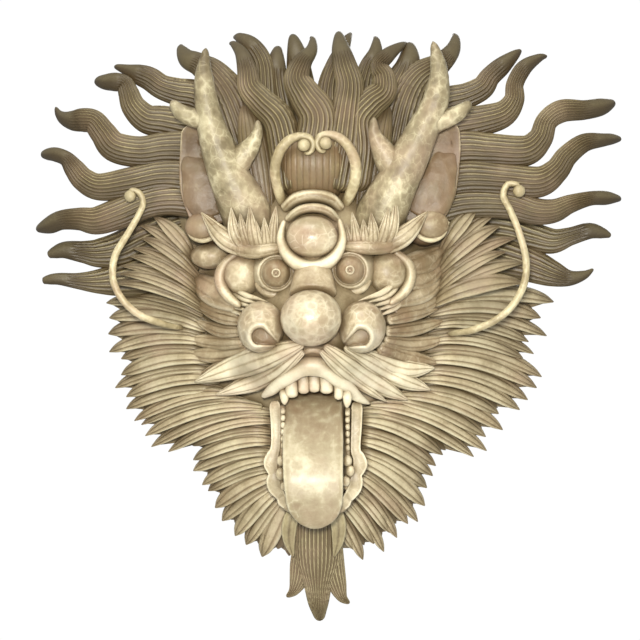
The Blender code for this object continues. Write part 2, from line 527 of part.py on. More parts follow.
def carve_through(piece):
    """Carry out the piece's Booleans, and fill the pockets that they shut inside the wood."""
    graph = bpy.context.evaluated_depsgraph_get()
    bm = bmesh.new()
    bm.from_mesh(bpy.data.meshes.new_from_object(piece.evaluated_get(graph)))
    bmesh.ops.triangulate(bm, faces=bm.faces)
    unseen = set(bm.verts)
    islands = []
    while unseen:
        edge_of_island = [unseen.pop()]
        island = list(edge_of_island)
        while edge_of_island:
            vert = edge_of_island.pop()
            for edge in vert.link_edges:
                other = edge.other_vert(vert)
                if other in unseen:
                    unseen.remove(other)
                    edge_of_island.append(other)
                    island.append(other)
        islands.append(island)
    islands.sort(key=len)
    for pocket in islands[:-1]:
        bmesh.ops.delete(bm, geom=pocket, context="VERTS")
    piece.modifiers.clear()
    bm.to_mesh(piece.data)
    bm.free()


def hidden_collection(name):
    """Collection of forms that only shape another object."""
    collection = bpy.data.collections.new(name)
    bpy.context.scene.collection.children.link(collection)
    return collection


def hide_shapers(collection):
    """Keep the forms that only shape another object out of the renders."""
    for shaper in collection.objects:
        shaper.hide_render = True
        shaper.display_type = "WIRE"


def wood(name, colour):
    """Lime-washed wood."""
    material = bpy.data.materials.new(name)
    material.use_nodes = True
    shader = material.node_tree.nodes["Principled BSDF"]
    shader.inputs["Base Color"].default_value = colour
    shader.inputs["Roughness"].default_value = WOOD_ROUGHNESS
    return material


def finish(piece, colour):
    """Give the piece its wood and a smooth surface with crisp edges."""
    piece.data.materials.append(wood(piece.name + "_wood", colour))
    piece.data.shade_smooth()
    piece.data.set_sharp_from_angle(angle=SMOOTH_ANGLE)


def main():
    for leftover in list(bpy.data.objects):
        bpy.data.objects.remove(leftover)
    plaque = bpy.data.collections.new("dragon_head_plaque")
    bpy.context.scene.collection.children.link(plaque)
    carvings = hidden_collection("relief_carvings")
    cutters = hidden_collection("relief_cutters")

    head = make_ruff(plaque)
    make_block(carvings)
    carve_mane(carvings)
    carve_face(carvings)
    carve_mouth(carvings)
    for k, rows in enumerate(NOSTRIL_HOLES):
        sweep(f"nostril_hole_{k}", rows, cutters, steps=2, flatness=NOSTRIL_HOLE_FLATNESS)

    pieces = []
    for name, branches in ANTLERS.items():
        beam, *tines = branches
        antler = sweep(name, beam, plaque)
        tine_forms = hidden_collection(f"{name}_tines")
        for k, rows in enumerate(tines):
            sweep(f"{name}_tine_{k}", rows, tine_forms)
        hide_shapers(tine_forms)
        add_boolean(antler, "UNION", tine_forms)
        sweep(f"{name}_socket", beam, cutters, extra=GAP_SQUARES)
        pieces.append(antler)
    for name, rows in {**WHISKERS, **CURLS}.items():
        x, y, depth, radius = {**WHISKER_BALLS, **CURL_BALLS}[name]
        tendril = sweep(name, rows, plaque, LOCK_SECTION)
        ball_forms = hidden_collection(f"{name}_ball")
        ball(f"{name}_end", (x, y, depth, radius, radius, radius), ball_forms, 10)
        hide_shapers(ball_forms)
        add_boolean(tendril, "UNION", ball_forms)
        sweep(f"{name}_socket", rows, cutters, LOCK_SECTION, extra=GAP_SQUARES * HEXAGON_EASE)
        pieces.append(tendril)

    hide_shapers(carvings)
    hide_shapers(cutters)
    add_boolean(head, "UNION", carvings)
    carve_through(head)
    head.modifiers.new("Decimate", "DECIMATE").ratio = FACETS_KEPT
    add_boolean(head, "DIFFERENCE", cutters)
    carve_through(head)
    finish(head, WOOD_COLOUR)
    for piece in pieces:
        finish(piece, PALE_WOOD_COLOUR)


main()
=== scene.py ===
# %% [markdown]
# # A carved dragon head for a wall
# The real object is one relief carved from glued wood, with antlers, whiskers and forehead curls let into
# it. It was lime washed and rubbed, so the ridges are cream and the cuts stay olive brown. This lesson
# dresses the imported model: it repeats the carver's drawing, cuts the fine forms along it, and paints them.

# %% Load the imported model
import math

import bmesh
import bpy
import numpy as np
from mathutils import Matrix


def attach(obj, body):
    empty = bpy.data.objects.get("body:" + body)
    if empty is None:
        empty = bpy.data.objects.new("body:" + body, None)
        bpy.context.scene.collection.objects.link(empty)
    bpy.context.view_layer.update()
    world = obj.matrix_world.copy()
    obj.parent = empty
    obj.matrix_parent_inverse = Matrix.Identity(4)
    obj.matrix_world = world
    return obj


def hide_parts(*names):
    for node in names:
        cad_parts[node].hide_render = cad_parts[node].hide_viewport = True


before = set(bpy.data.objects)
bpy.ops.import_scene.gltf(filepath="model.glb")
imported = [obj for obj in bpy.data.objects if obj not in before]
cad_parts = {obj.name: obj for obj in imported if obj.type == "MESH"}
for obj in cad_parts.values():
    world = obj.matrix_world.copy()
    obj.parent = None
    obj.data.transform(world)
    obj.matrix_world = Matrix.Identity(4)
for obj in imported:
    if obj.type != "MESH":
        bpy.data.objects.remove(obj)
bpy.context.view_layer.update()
print("packed nodes:", ", ".join(sorted(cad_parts)))

# %% [markdown]
# ## The carver's squared drawing
# A relief is laid out on a squared drawing. Here x runs in squares from its left edge and y down from its
# top edge, and depths are squares off the wall. The drawing shows the plaque as an eye at VIEW_DISTANCE
# sees it, so a point that stands off the wall moves towards the eye line. The same few numbers place the
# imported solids, so what is cut here lies on them.

# %% The drawing's scale and the block's swell
PLAQUE_HEIGHT = 0.94
VIEW_DISTANCE = 2.4
HANG_HEIGHT = 0.24
DRAWN_HEIGHT = 588
AXIS_X = 313
EYE_LINE_Y = 320
SQUARE = PLAQUE_HEIGHT / DRAWN_HEIGHT

BLOCK_MIDDLE = (320, 290)
BLOCK_OUTLINE = [
    (320, 105), (375, 104), (440, 112), (470, 140), (482, 178), (490, 222), (518, 300), (512, 350),
    (505, 395), (470, 432), (432, 458), (412, 500), (384, 528), (350, 540), (313, 545), (280, 540),
    (243, 516), (212, 470), (168, 436), (142, 398), (136, 350), (136, 300), (152, 222), (162, 178),
    (176, 142), (210, 112), (265, 104),
]
RIM_DEPTH = 16
CROWN_DEPTH = 88
SWELLS = [(320, 150, 190, 110, 30), (313, 285, 118, 105, 36), (313, 335, 85, 55, 24)]
RIM_OFFSETS = np.array(BLOCK_OUTLINE, float) - BLOCK_MIDDLE
RIM_ANGLES = np.arctan2(RIM_OFFSETS[:, 1], RIM_OFFSETS[:, 0])
RIM_RADII = np.hypot(RIM_OFFSETS[:, 0], RIM_OFFSETS[:, 1])


def at(x, y, depth):
    """Points that the drawing shows at squares x and y, this many squares off the wall."""
    x, y, depth = np.broadcast_arrays(np.asarray(x, float), y, depth)
    shrink = 1 - depth * SQUARE / VIEW_DISTANCE
    up = (EYE_LINE_Y - y) * SQUARE * shrink - HANG_HEIGHT
    return np.stack([(x - AXIS_X) * SQUARE * shrink, -depth * SQUARE, up], axis=-1)


def block_depth(x, y):
    """Depth of the glued block's front at squares x and y."""
    dx, dy = np.asarray(x, float) - BLOCK_MIDDLE[0], np.asarray(y, float) - BLOCK_MIDDLE[1]
    rim = np.interp(np.arctan2(dy, dx), RIM_ANGLES, RIM_RADII, period=math.tau)
    depth = RIM_DEPTH + (CROWN_DEPTH - RIM_DEPTH) * (1 - np.minimum(np.hypot(dx, dy) / rim, 1) ** 1.8)
    for centre_x, centre_y, reach_x, reach_y, height in SWELLS:
        reach = ((x - centre_x) / reach_x) ** 2 + ((y - centre_y) / reach_y) ** 2
        depth = depth + height * np.maximum(0, 1 - reach)
    return depth


def mix(start, end, share):
    """The point this share of the way from start to end."""
    return start[0] + (end[0] - start[0]) * share, start[1] + (end[1] - start[1]) * share


def curve(rows, t):
    """Rows of numbers on a smooth curve through the given rows, at shares t of the way."""
    rows = np.asarray(rows, float)
    ends = np.vstack([2 * rows[0] - rows[1], rows, 2 * rows[-1] - rows[-2]])
    spot = np.clip(t, 0, 1) * (len(rows) - 1)
    k = np.minimum(spot.astype(int), len(rows) - 2)
    s = (spot - k)[:, None]
    a, b, c, d = ends[k], ends[k + 1], ends[k + 2], ends[k + 3]
    return 0.5 * (2 * b + (c - a) * s + (2 * a - 5 * b + 4 * c - d) * s ** 2
                  + (3 * b - a - 3 * c + d) * s ** 3)


# %% [markdown]
# ## The camera and the light
# The photograph looks straight at the plaque, a little below its hanging point, with the light close to
# the lens. So the camera stands on the drawing's eye line, where the drawing is seen as it was drawn, and
# the key light is a small panel just over it, with a large soft one above for the upper edges. A pale
# shell surrounds the studio and a pale floor lies well below, where no shadow reaches it.

# %% Camera
IMAGE_WIDTH = 640
SENSOR = 36

camera_data = bpy.data.cameras.new("camera")
camera_data.sensor_width = SENSOR
camera_data.lens = SENSOR * VIEW_DISTANCE / (IMAGE_WIDTH * SQUARE)
camera_data.shift_x = (IMAGE_WIDTH / 2 - AXIS_X) / IMAGE_WIDTH
camera = bpy.data.objects.new("camera", camera_data)
camera.location = (0, -VIEW_DISTANCE, -HANG_HEIGHT)
camera.rotation_euler = (math.pi / 2, 0, 0)
bpy.context.scene.collection.objects.link(camera)
bpy.context.scene.camera = camera
bpy.context.scene.view_settings.view_transform = "Standard"
print("lens in mm:", round(camera_data.lens, 1))

# %% Lights and world
# Each light: place, the point that it faces, width, height, watts and colour
LIGHTS = {
    "key_panel": ((-0.05, -2.36, -0.06), (0, 0, -0.25), 0.24, 0.18, 49, (1.0, 0.965, 0.89)),
    "top_panel": ((-0.3, -1.3, 1.7), (0, 0, -0.2), 1.4, 0.9, 22, (1.0, 0.97, 0.92)),
    "low_fill": ((0.4, -1.9, -1.4), (0, 0, -0.2), 1.2, 0.8, 7, (0.96, 0.97, 1.0)),
    "back_fill": ((0.6, 2.6, 0.8), (0, 0, -0.2), 1.8, 1.4, 26, (1.0, 0.98, 0.94)),
}
WORLD_STRENGTH = 0.40


def add_light(name, place, target, width, height, watts, colour):
    """A soft rectangular lamp that faces a point."""
    data = bpy.data.lights.new(name, "AREA")
    data.shape = "RECTANGLE"
    data.size = width
    data.size_y = height
    data.energy = watts
    data.color = colour
    lamp = bpy.data.objects.new(name, data)
    lamp.location = place
    lamp.visible_camera = False
    lamp.rotation_euler = (lamp.location - type(lamp.location)(target)).to_track_quat("Z", "Y").to_euler()
    bpy.context.scene.collection.objects.link(lamp)


for name, settings in LIGHTS.items():
    add_light(name, *settings)

world = bpy.data.worlds.new("studio")
bpy.context.scene.world = world
world.use_nodes = True
world.node_tree.nodes["Background"].inputs["Color"].default_value = (1.0, 1.0, 1.0, 1)
world.node_tree.nodes["Background"].inputs["Strength"].default_value = WORLD_STRENGTH
print("lights:", ", ".join(LIGHTS))

# %% Floor and backdrop
FLOOR_HEIGHT = -2.6
FLOOR_SIZE = 13.0
FLOOR_COLOUR = (0.5, 0.5, 0.49, 1)
FLOOR_GLOW = 0.62
BACKDROP_RADIUS = 7.0
BACKDROP_COLOUR = (0, 0, 0, 1)
BACKDROP_GLOW = 1.02


def stage_piece(name, bm, colour, glow):
    """A pale surface that isn't part of the object. Only the camera sees it, so it casts no light."""
    mesh = bpy.data.meshes.new(name)
    bm.to_mesh(mesh)
    bm.free()
    surface = bpy.data.objects.new(name, mesh)
    bpy.context.scene.collection.objects.link(surface)
    surface.visible_diffuse = False
    surface.visible_glossy = False
    surface.visible_shadow = False
    material = bpy.data.materials.new(name)
    material.use_nodes = True
    shader = material.node_tree.nodes["Principled BSDF"]
    for socket, value in (("Base Color", colour), ("Roughness", 0.9), ("Emission Color", (1, 1, 1, 1)),
                          ("Emission Strength", glow), ("Specular IOR Level", 0)):
        shader.inputs[socket].default_value = value
    mesh.materials.append(material)


floor = bmesh.new()
bmesh.ops.create_grid(floor, x_segments=1, y_segments=1, size=FLOOR_SIZE / 2)
bmesh.ops.translate(floor, verts=floor.verts, vec=(0, 0, FLOOR_HEIGHT))
stage_piece("floor", floor, FLOOR_COLOUR, FLOOR_GLOW)
shell = bmesh.new()
bmesh.ops.create_uvsphere(shell, u_segments=48, v_segments=24, radius=BACKDROP_RADIUS)
stage_piece("backdrop", shell, BACKDROP_COLOUR, BACKDROP_GLOW)
print("floor and backdrop are in place")

# %% [markdown]
# ## Paint that follows the chisel
# On the real carving the wash was wiped off the heights and stayed in the cuts. A procedural material can
# only guess where the cuts are, so each form writes it down while it is cut: ridge is 1 on a crest and 0
# in a cut, the dark layer is 1 where the wood is painted dark, mostly as painted shade on parts that lie
# under or behind others or turn away from the light and partly as the wood's own darker tone, and blush is
# 1 where old red shows through. The material mixes its colours by these, by how enclosed a spot is, which
# paints grime and painted shade into hollows and creases, and by noise that breaks the edges up.

# %% The finish of the wood
PAINT_LAYERS = ("ridge", "dusk", "blush")
HOLLOW_REACH = 0.014        # a spot is enclosed by what stands within this many metres of it
HOLLOW_CONTRAST = 1.6
RIDGE_SHARE = 0.75          # how much the cut forms, and fine noise, say where the wash is rubbed off
SPECK_SHARE = 0.34
RUB_START = 0.21
# How strongly the dark layer paints, and further down its colour: mostly painted shade, partly the wood's
# darker tone
SHADE_AND_DARK_SHARE = 0.88
# Grime in the hollows together with painted shade where a spot is enclosed: its share here, its colour below
GRIME_AND_SHADE_SHARE = 0.6
PINK_COLOUR = (196, 164, 142)
OLIVE_COLOUR = (158, 150, 118)
RED_COLOUR = (134, 108, 80)
SHADE_AND_DARK_COLOUR = (72, 62, 44)
GRIME_AND_SHADE_COLOUR = (84, 68, 44)
NET_LINE = 0.075            # how wide the lines of wash between dimples are, as a share of a dimple
SPECK_ROUGHNESS = 0.22
COAT_ROUGHNESS = 0.16
GRAIN_STRENGTH = 0.35
GRAIN_DEPTH = 0.0012        # metres


def feed(tree, socket, value):
    """Give a socket a number or a colour of 0 to 255 values, or link it to another node's output."""
    if isinstance(value, (int, float)):
        socket.default_value = value
    elif isinstance(value, tuple):
        socket.default_value = tuple((part / 255) ** 2.2 for part in value) + (1,)
    else:
        tree.links.new(value, socket)


def mix_colours(tree, share, first, second):
    """A node that mixes two colours by a share."""
    node = tree.nodes.new("ShaderNodeMix")
    node.data_type = "RGBA"
    for socket, value in ((node.inputs[0], share), (node.inputs[6], first), (node.inputs[7], second)):
        feed(tree, socket, value)
    return node.outputs[2]


def maths(tree, operation, *values, clamp=False):
    """A node that works out one number."""
    node = tree.nodes.new("ShaderNodeMath")
    node.operation = operation
    node.use_clamp = clamp
    for socket, value in zip(node.inputs, values):
        feed(tree, socket, value)
    return node.outputs[0]


def noise(tree, scale, detail=3.0, stretch=(1, 1, 1)):
    """Noise in the piece's own coordinates, which may be stretched along an axis."""
    coordinates = tree.nodes.new("ShaderNodeTexCoord")
    mapping = tree.nodes.new("ShaderNodeMapping")
    mapping.inputs["Scale"].default_value = stretch
    texture = tree.nodes.new("ShaderNodeTexNoise")
    texture.inputs["Scale"].default_value = scale
    texture.inputs["Detail"].default_value = detail
    texture.inputs["Roughness"].default_value = 0.55
    tree.links.new(coordinates.outputs["Object"], mapping.inputs["Vector"])
    tree.links.new(mapping.outputs["Vector"], texture.inputs["Vector"])
    return texture.outputs["Fac"]


def stretched(tree, value, low, high):
    """The value spread so that low becomes 0 and high becomes 1."""
    node = tree.nodes.new("ShaderNodeMapRange")
    node.inputs["From Min"].default_value = low
    node.inputs["From Max"].default_value = high
    tree.links.new(value, node.inputs["Value"])
    return node.outputs["Result"]


def crackle(tree, scale):
    """Thin lines of wash left round shallow dimples: 1 on a line."""
    coordinates = tree.nodes.new("ShaderNodeTexCoord")
    bend = tree.nodes.new("ShaderNodeTexNoise")
    bend.inputs["Scale"].default_value = scale * 0.6
    shift = tree.nodes.new("ShaderNodeVectorMath")
    shift.operation = "MULTIPLY_ADD"
    shift.inputs[1].default_value = (0.45 / scale,) * 3
    cells = tree.nodes.new("ShaderNodeTexVoronoi")
    cells.feature = "DISTANCE_TO_EDGE"
    cells.inputs["Scale"].default_value = scale
    tree.links.new(coordinates.outputs["Object"], bend.inputs["Vector"])
    tree.links.new(bend.outputs["Color"], shift.inputs[0])
    tree.links.new(coordinates.outputs["Object"], shift.inputs[2])
    tree.links.new(shift.outputs[0], cells.inputs["Vector"])
    return maths(tree, "SUBTRACT", 1.0, stretched(tree, cells.outputs["Distance"], 0.0, NET_LINE))


def limed_wood(name, cut, body, rubbed, gloss=0.46, wear=0.0, coat=0.0, tint=0.4, mottle=0.30, veins=0.0,
               net_scale=62):
    """Carved wood with a wash: dark in cuts, rubbed pale on crests, with traces of old red and painted shade.
    """
    material = bpy.data.materials.new(name)
    material.use_nodes = True
    tree = material.node_tree
    shader = tree.nodes["Principled BSDF"]

    def times(first, second, clamp=False):
        return maths(tree, "MULTIPLY", first, second, clamp=clamp)

    paint = {}
    for layer in PAINT_LAYERS:
        node = tree.nodes.new("ShaderNodeAttribute")
        node.attribute_name = layer
        paint[layer] = node.outputs["Fac"]
    shelter = tree.nodes.new("ShaderNodeAmbientOcclusion")
    shelter.samples = 6
    shelter.inputs["Distance"].default_value = HOLLOW_REACH
    openness = maths(tree, "POWER", shelter.outputs["AO"], HOLLOW_CONTRAST)

    # How far the wash is rubbed off
    patches = noise(tree, 22)
    specks = noise(tree, 230, detail=4.0)
    streaks = noise(tree, 90, detail=4.0, stretch=(1, 1, 0.35))
    height = maths(tree, "ADD", times(paint["ridge"], RIDGE_SHARE),
                   times(stretched(tree, patches, 0.3, 0.7), mottle))
    height = maths(tree, "ADD", height, times(specks, SPECK_SHARE))
    height = maths(tree, "SUBTRACT", height, RUB_START + mottle / 2 - wear)
    worn = times(height, openness, clamp=True)

    # Each layer of paint lies over the ones before it. The last two darken: the dark layer, mostly painted
    # shade, and then grime together with painted shade where a spot is enclosed: in hollows, creases, under
    # forms and where parts meet.
    net = times(crackle(tree, net_scale), stretched(tree, noise(tree, 45), 0.40, 0.60), clamp=True)
    old_paint = stretched(tree, noise(tree, 13, detail=2.0), 0.50, 0.68)
    old_varnish = stretched(tree, noise(tree, 17, detail=2.0, stretch=(1, 1, 1.3)), 0.52, 0.70)
    colour = mix_colours(tree, stretched(tree, worn, 0.0, 0.5), cut, body)
    for share, layer_colour in (
            (stretched(tree, worn, 0.42, 0.95), rubbed),
            (times(net, times(openness, veins), clamp=True), rubbed),
            (times(old_paint, tint, clamp=True), PINK_COLOUR),
            (times(old_varnish, tint, clamp=True), OLIVE_COLOUR),
            (times(paint["blush"], stretched(tree, streaks, 0.20, 0.60), clamp=True), RED_COLOUR),
            (times(paint["dusk"], SHADE_AND_DARK_SHARE), SHADE_AND_DARK_COLOUR),
            (times(maths(tree, "SUBTRACT", 1.0, openness), GRIME_AND_SHADE_SHARE, clamp=True), GRIME_AND_SHADE_COLOUR)):
        colour = mix_colours(tree, share, colour, layer_colour)
    tree.links.new(colour, shader.inputs["Base Color"])

    rough = maths(tree, "ADD", times(specks, SPECK_ROUGHNESS), gloss - SPECK_ROUGHNESS / 2)
    tree.links.new(rough, shader.inputs["Roughness"])
    shader.inputs["Coat Weight"].default_value = coat
    shader.inputs["Coat Roughness"].default_value = COAT_ROUGHNESS
    bump = tree.nodes.new("ShaderNodeBump")
    bump.inputs["Strength"].default_value = GRAIN_STRENGTH
    bump.inputs["Distance"].default_value = GRAIN_DEPTH
    grain = maths(tree, "ADD", specks, times(streaks, 0.8))
    tree.links.new(grain, bump.inputs["Height"])
    tree.links.new(bump.outputs["Normal"], shader.inputs["Normal"])
    return material


# Each: the colours of the cuts, the body and the rubbed crests
# The mane's colours are darker than the face's: partly its own tone, partly painted shade where the mane lies
# back from the light.
MANE_WOOD_WITH_SHADE = limed_wood("mane_wood_with_shade", (84, 72, 49), (133, 120, 86), (214, 203, 154), tint=0.16)
RUFF_WOOD = limed_wood("ruff_wood", (118, 102, 74), (188, 173, 138), (238, 229, 193), wear=0.04, tint=0.25)
BEARD_WOOD = limed_wood("beard_wood", (112, 98, 72), (178, 165, 126), (214, 203, 162), tint=0.2)
FACE_WOOD = limed_wood("face_wood", (136, 118, 88), (208, 194, 160), (246, 238, 208), gloss=0.40, wear=0.04,
                       mottle=0.55, veins=0.3, net_scale=85)
LACQUERED_WOOD = limed_wood("lacquered_wood", (146, 124, 96), (208, 194, 162), (244, 236, 208), gloss=0.34,
                            wear=0.04, coat=0.3, mottle=0.55, veins=0.5, net_scale=72)
TONGUE_WOOD = limed_wood("tongue_wood", (148, 128, 98), (186, 174, 140), (236, 229, 197), gloss=0.44,
                         wear=0.02, coat=0.04, tint=0.25, mottle=0.45, veins=0.12)
EAR_WOOD = limed_wood("ear_wood", (104, 84, 60), (142, 124, 94), (232, 222, 184), tint=0.3, mottle=0.6)
ANTLER_WOOD = limed_wood("antler_limed_wood", (118, 106, 80), (168, 156, 124), (230, 222, 184), tint=0.3,
                         mottle=0.75, veins=0.36, net_scale=88)
TENDRIL_WOOD = limed_wood("tendril_limed_wood", (140, 124, 90), (192, 178, 140), (232, 224, 184), gloss=0.44,
                          mottle=0.6)
print("finishes of the wood: 9")

# %% [markdown]
# ## One way to cut every form
# Locks, leaves, lips and antlers are all a section carried along a line. A closed ball of vertices is a
# good start for each of them: its poles become the two ends, its rings the stations along the line, and
# its columns the points round the section. So create_uvsphere gives the faces, already closed, and the
# formula below only moves its vertices. Flutes are the hollow cuts of a round gouge, side by side, with a
# sharp crest left between each two.

# %% The sweep
FACET_CONTRAST = 0.5
FRONT_SHARE = 2 / 3         # share of a section's points that lie on the side that is seen
COLUMNS_TO_A_FLUTE = 9      # two thirds of them are on the front
COLUMNS_TO_A_BAND = 17
END_CROWDING = 0.08         # how much the stations crowd towards both ends
CREST_SHARPNESS = 1.8
CUT_SHADE = 0.8             # how much darker an incised line is
DEEPEST_CUT = 0.3           # as a share of half the width
FLUTE_FADE = 0.06           # the share of the line over which the flutes run out
LEAST_WIDTH = 0.6
BACK_RIDGE = 0.3
# How much darker the lower side of a form is painted, as shade
LOW_SIDE_SHADE = 0.3
UNIT_BALLS = {}


def new_carving():
    """An empty mesh with the paint layers."""
    bm = bmesh.new()
    for layer in PAINT_LAYERS:
        bm.verts.layers.float.new(layer)
    return bm


def unit_ball(around, stations):
    """A carving that is a ball of vertices. Each size is made once and copied after that."""
    bm = new_carving()
    if (around, stations) not in UNIT_BALLS:
        bmesh.ops.create_uvsphere(bm, u_segments=around, v_segments=stations, radius=1)
        UNIT_BALLS[around, stations] = bpy.data.meshes.new("unit_ball")
        bm.to_mesh(UNIT_BALLS[around, stations])
    else:
        bm.from_mesh(UNIT_BALLS[around, stations])
    return bm, list(bm.verts), np.array([vert.co for vert in bm.verts])


def join_form(bm, form):
    """Move a finished form into the carving that it is a part of."""
    mesh = bpy.data.meshes.new("form")
    form.to_mesh(mesh)
    form.free()
    bm.from_mesh(mesh)
    bpy.data.meshes.remove(mesh)


def lay(bm, verts, points, **paint):
    """Move vertices to their points and paint them."""
    for vert, point in zip(verts, points):
        vert.co = point
    for layer, values in paint.items():
        handle = bm.verts.layers.float[layer]
        for vert, value in zip(verts, np.broadcast_to(values, len(verts))):
            vert[handle] = value


def painted(value, *place):
    """A paint value, which may be a function of the place on the form."""
    return value(*place) if callable(value) else value


def smooth_step(value, low, high):
    """0 below low, 1 above high and smooth between them."""
    share = np.clip((value - low) / (high - low), 0, 1)
    return share * share * (3 - 2 * share)


def hammered(points, outward, spacing, depth, seed):
    """Sink a facet round each of many scattered spots. Also gives the paint of the crests between them."""
    dice = np.random.RandomState(seed)
    spots = points[:1]
    for k in dice.permutation(len(points)):
        if np.linalg.norm(spots - points[k], axis=1).min() > spacing:
            spots = np.vstack([spots, points[k]])
    distances = np.linalg.norm(points[:, None] - spots[None], axis=2)
    strength = dice.uniform(0.1, 1, len(spots))[distances.argmin(axis=1)]
    nearest, second = np.partition(distances, 1, axis=1)[:, :2].T
    nearness = 2 * nearest / (nearest + second + 1e-9)
    sunk = points - outward * (depth * strength * (1 - nearness ** 2))[:, None]
    return sunk, FACET_CONTRAST * strength * (nearness ** 4 - 0.3)


def directions(rows, t, level):
    """Which way is across the form and which way is out of it, at each t of its line."""
    ahead = at(*curve(rows, np.minimum(t + 0.01, 1))[:, :3].T)
    behind = at(*curve(rows, np.maximum(t - 0.01, 0))[:, :3].T)
    along = ahead - behind
    along /= np.linalg.norm(along, axis=1)[:, None]
    across = np.tile((1.0, 0.0, 0.0), (len(t), 1)) if level else np.cross((0.0, 1.0, 0.0), along)
    across /= np.linalg.norm(across, axis=1)[:, None]
    out = np.cross(across, along)
    out *= np.where(out[:, 1:2] > 0, -1, 1)
    return across, out


def sweep(bm, rows, around=24, stations=30, flatness=1.0, flutes=0, bands=0, groove=0.0, lean=0.0, boxy=1.0,
          dish=0.0, root_round=0.03, tip_round=0.06, plain_from=2.0, level=False, thickness=None, cells=None,
          shade_below=0.0, ridge=0.5, dusk=0.0, blush=0.0):
    """Carry a section along rows of x, y, depth and width.

    t runs along the line, u across the section and v out of it. Flutes lie side by side, and bands are
    parted by incised lines. Paint values may be functions of t and u.
    """
    if flutes or bands:
        around = COLUMNS_TO_A_FLUTE * flutes + COLUMNS_TO_A_BAND * bands
    form, verts, places = unit_ball(around, stations)
    t = np.arccos(np.clip(places[:, 2], -1, 1)) / math.pi
    t -= END_CROWDING * np.sin(math.tau * t)
    column = np.rint(np.arctan2(places[:, 1], places[:, 0]) / math.tau * around) % around
    front = column / (FRONT_SHARE * around)
    back = (column / around - FRONT_SHARE) / (1 - FRONT_SHARE)
    angle = math.pi * np.where(front <= 1, front, 1 + back)
    u = np.sign(np.cos(angle)) * np.abs(np.cos(angle)) ** boxy
    v = np.sign(np.sin(angle)) * np.abs(np.sin(angle)) ** boxy
    flute = np.abs(np.sin(flutes * math.pi * front))
    line = (1 - np.abs(np.sin(bands * math.pi * front))) ** 3 * (np.abs(front - 0.5) < 0.46)
    cut = np.where(front <= 1, flute if flutes else line * (bands > 0), 0)
    cut = cut * np.clip((plain_from - t) / FLUTE_FADE, 0, 1)

    across, out = directions(rows, t, level)
    x, y, depth, width = curve(rows, t).T
    ends = np.sqrt(1 - (1 - np.minimum(t / root_round, 1)) ** 2)
    ends = ends * np.sqrt(1 - (1 - np.minimum((1 - t) / tip_round, 1)) ** 2)
    half = np.maximum(width, LEAST_WIDTH) / 2 * ends * SQUARE
    half_depth = half * flatness if thickness is None else thickness / 2 * ends * SQUARE
    sink = np.minimum(groove * SQUARE * cut, DEEPEST_CUT * half)
    lift = (half_depth - sink) * v + lean * half * u
    lift = lift - np.where(front <= 1, dish * half_depth * (1 - np.abs(u) ** 5) * np.abs(v) ** 0.2, 0)
    points = at(x, y, depth) + across * ((half - sink) * u)[:, None] + out * lift[:, None]
    if flutes:
        crest = np.where(front <= 1, (1 - cut) ** CREST_SHARPNESS, 0.2)
    else:
        crest = np.where(front <= 1, painted(ridge, t, u), BACK_RIDGE) * (1 - CUT_SHADE * cut)
    if cells:
        normal = across * u[:, None] + out * v[:, None]
        points, facets = hammered(points, normal, cells[0] * SQUARE, cells[1] * SQUARE, cells[2])
        crest = crest + facets
    # Painted shade: where shade_below asks, the lower side of a form is painted darker and less rubbed, as if
    # lit from above.
    low_side = shade_below * smooth_step(-across[:, 2] * u, -0.35, 0.9)
    lay(form, verts, points, ridge=crest * (1 - 0.8 * low_side), blush=painted(blush, t, u),
        dusk=painted(dusk, t, u) + LOW_SIDE_SHADE * low_side)
    join_form(bm, form)


def ball(bm, place, segments=48, cells=None, reshape=None, **paint):
    """A ball, as x, y, depth and its reach across, up and forward. A reshape returns new points and paint."""
    x, y, depth, reach_x, reach_y, reach_depth = place
    form, verts, unit = unit_ball(segments, segments * 3 // 4)
    points = at(x + unit[:, 0] * reach_x, y - unit[:, 1] * reach_y, depth + unit[:, 2] * reach_depth)
    paint = {"ridge": 0.5, **paint}
    if cells:
        outward = np.stack([unit[:, 0], -unit[:, 2], unit[:, 1]], axis=-1)
        points, facets = hammered(points, outward, cells[0] * SQUARE, cells[1] * SQUARE, cells[2])
        paint["ridge"] = paint["ridge"] + facets
    if reshape:
        points, paint = reshape(unit)
    lay(form, verts, points, **paint)
    join_form(bm, form)


def finish_piece(name, bm, material, nodes=("dragon_head",)):
    """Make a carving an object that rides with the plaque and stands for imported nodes."""
    bmesh.ops.recalc_face_normals(bm, faces=bm.faces)
    mesh = bpy.data.meshes.new(name)
    bm.to_mesh(mesh)
    bm.free()
    mesh.shade_smooth()
    mesh.materials.append(material)
    piece = bpy.data.objects.new(name, mesh)
    bpy.context.scene.collection.objects.link(piece)
    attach(piece, "root")
    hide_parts(*nodes)
    print(f"{name}: {len(mesh.polygons)} faces")


print("tools for sweeps, balls and finished pieces are ready")

# %% [markdown]
# ## The backing
# Behind the leaves and the hair lies the glued block with its flat back. It is one closed ball again: the
# front pole is the middle of the face, the rings spread to the leaves' roots and on to their tips, and the
# last rings lie on the wall. The outline steps in between each two tips, as the carver's saw cuts do.

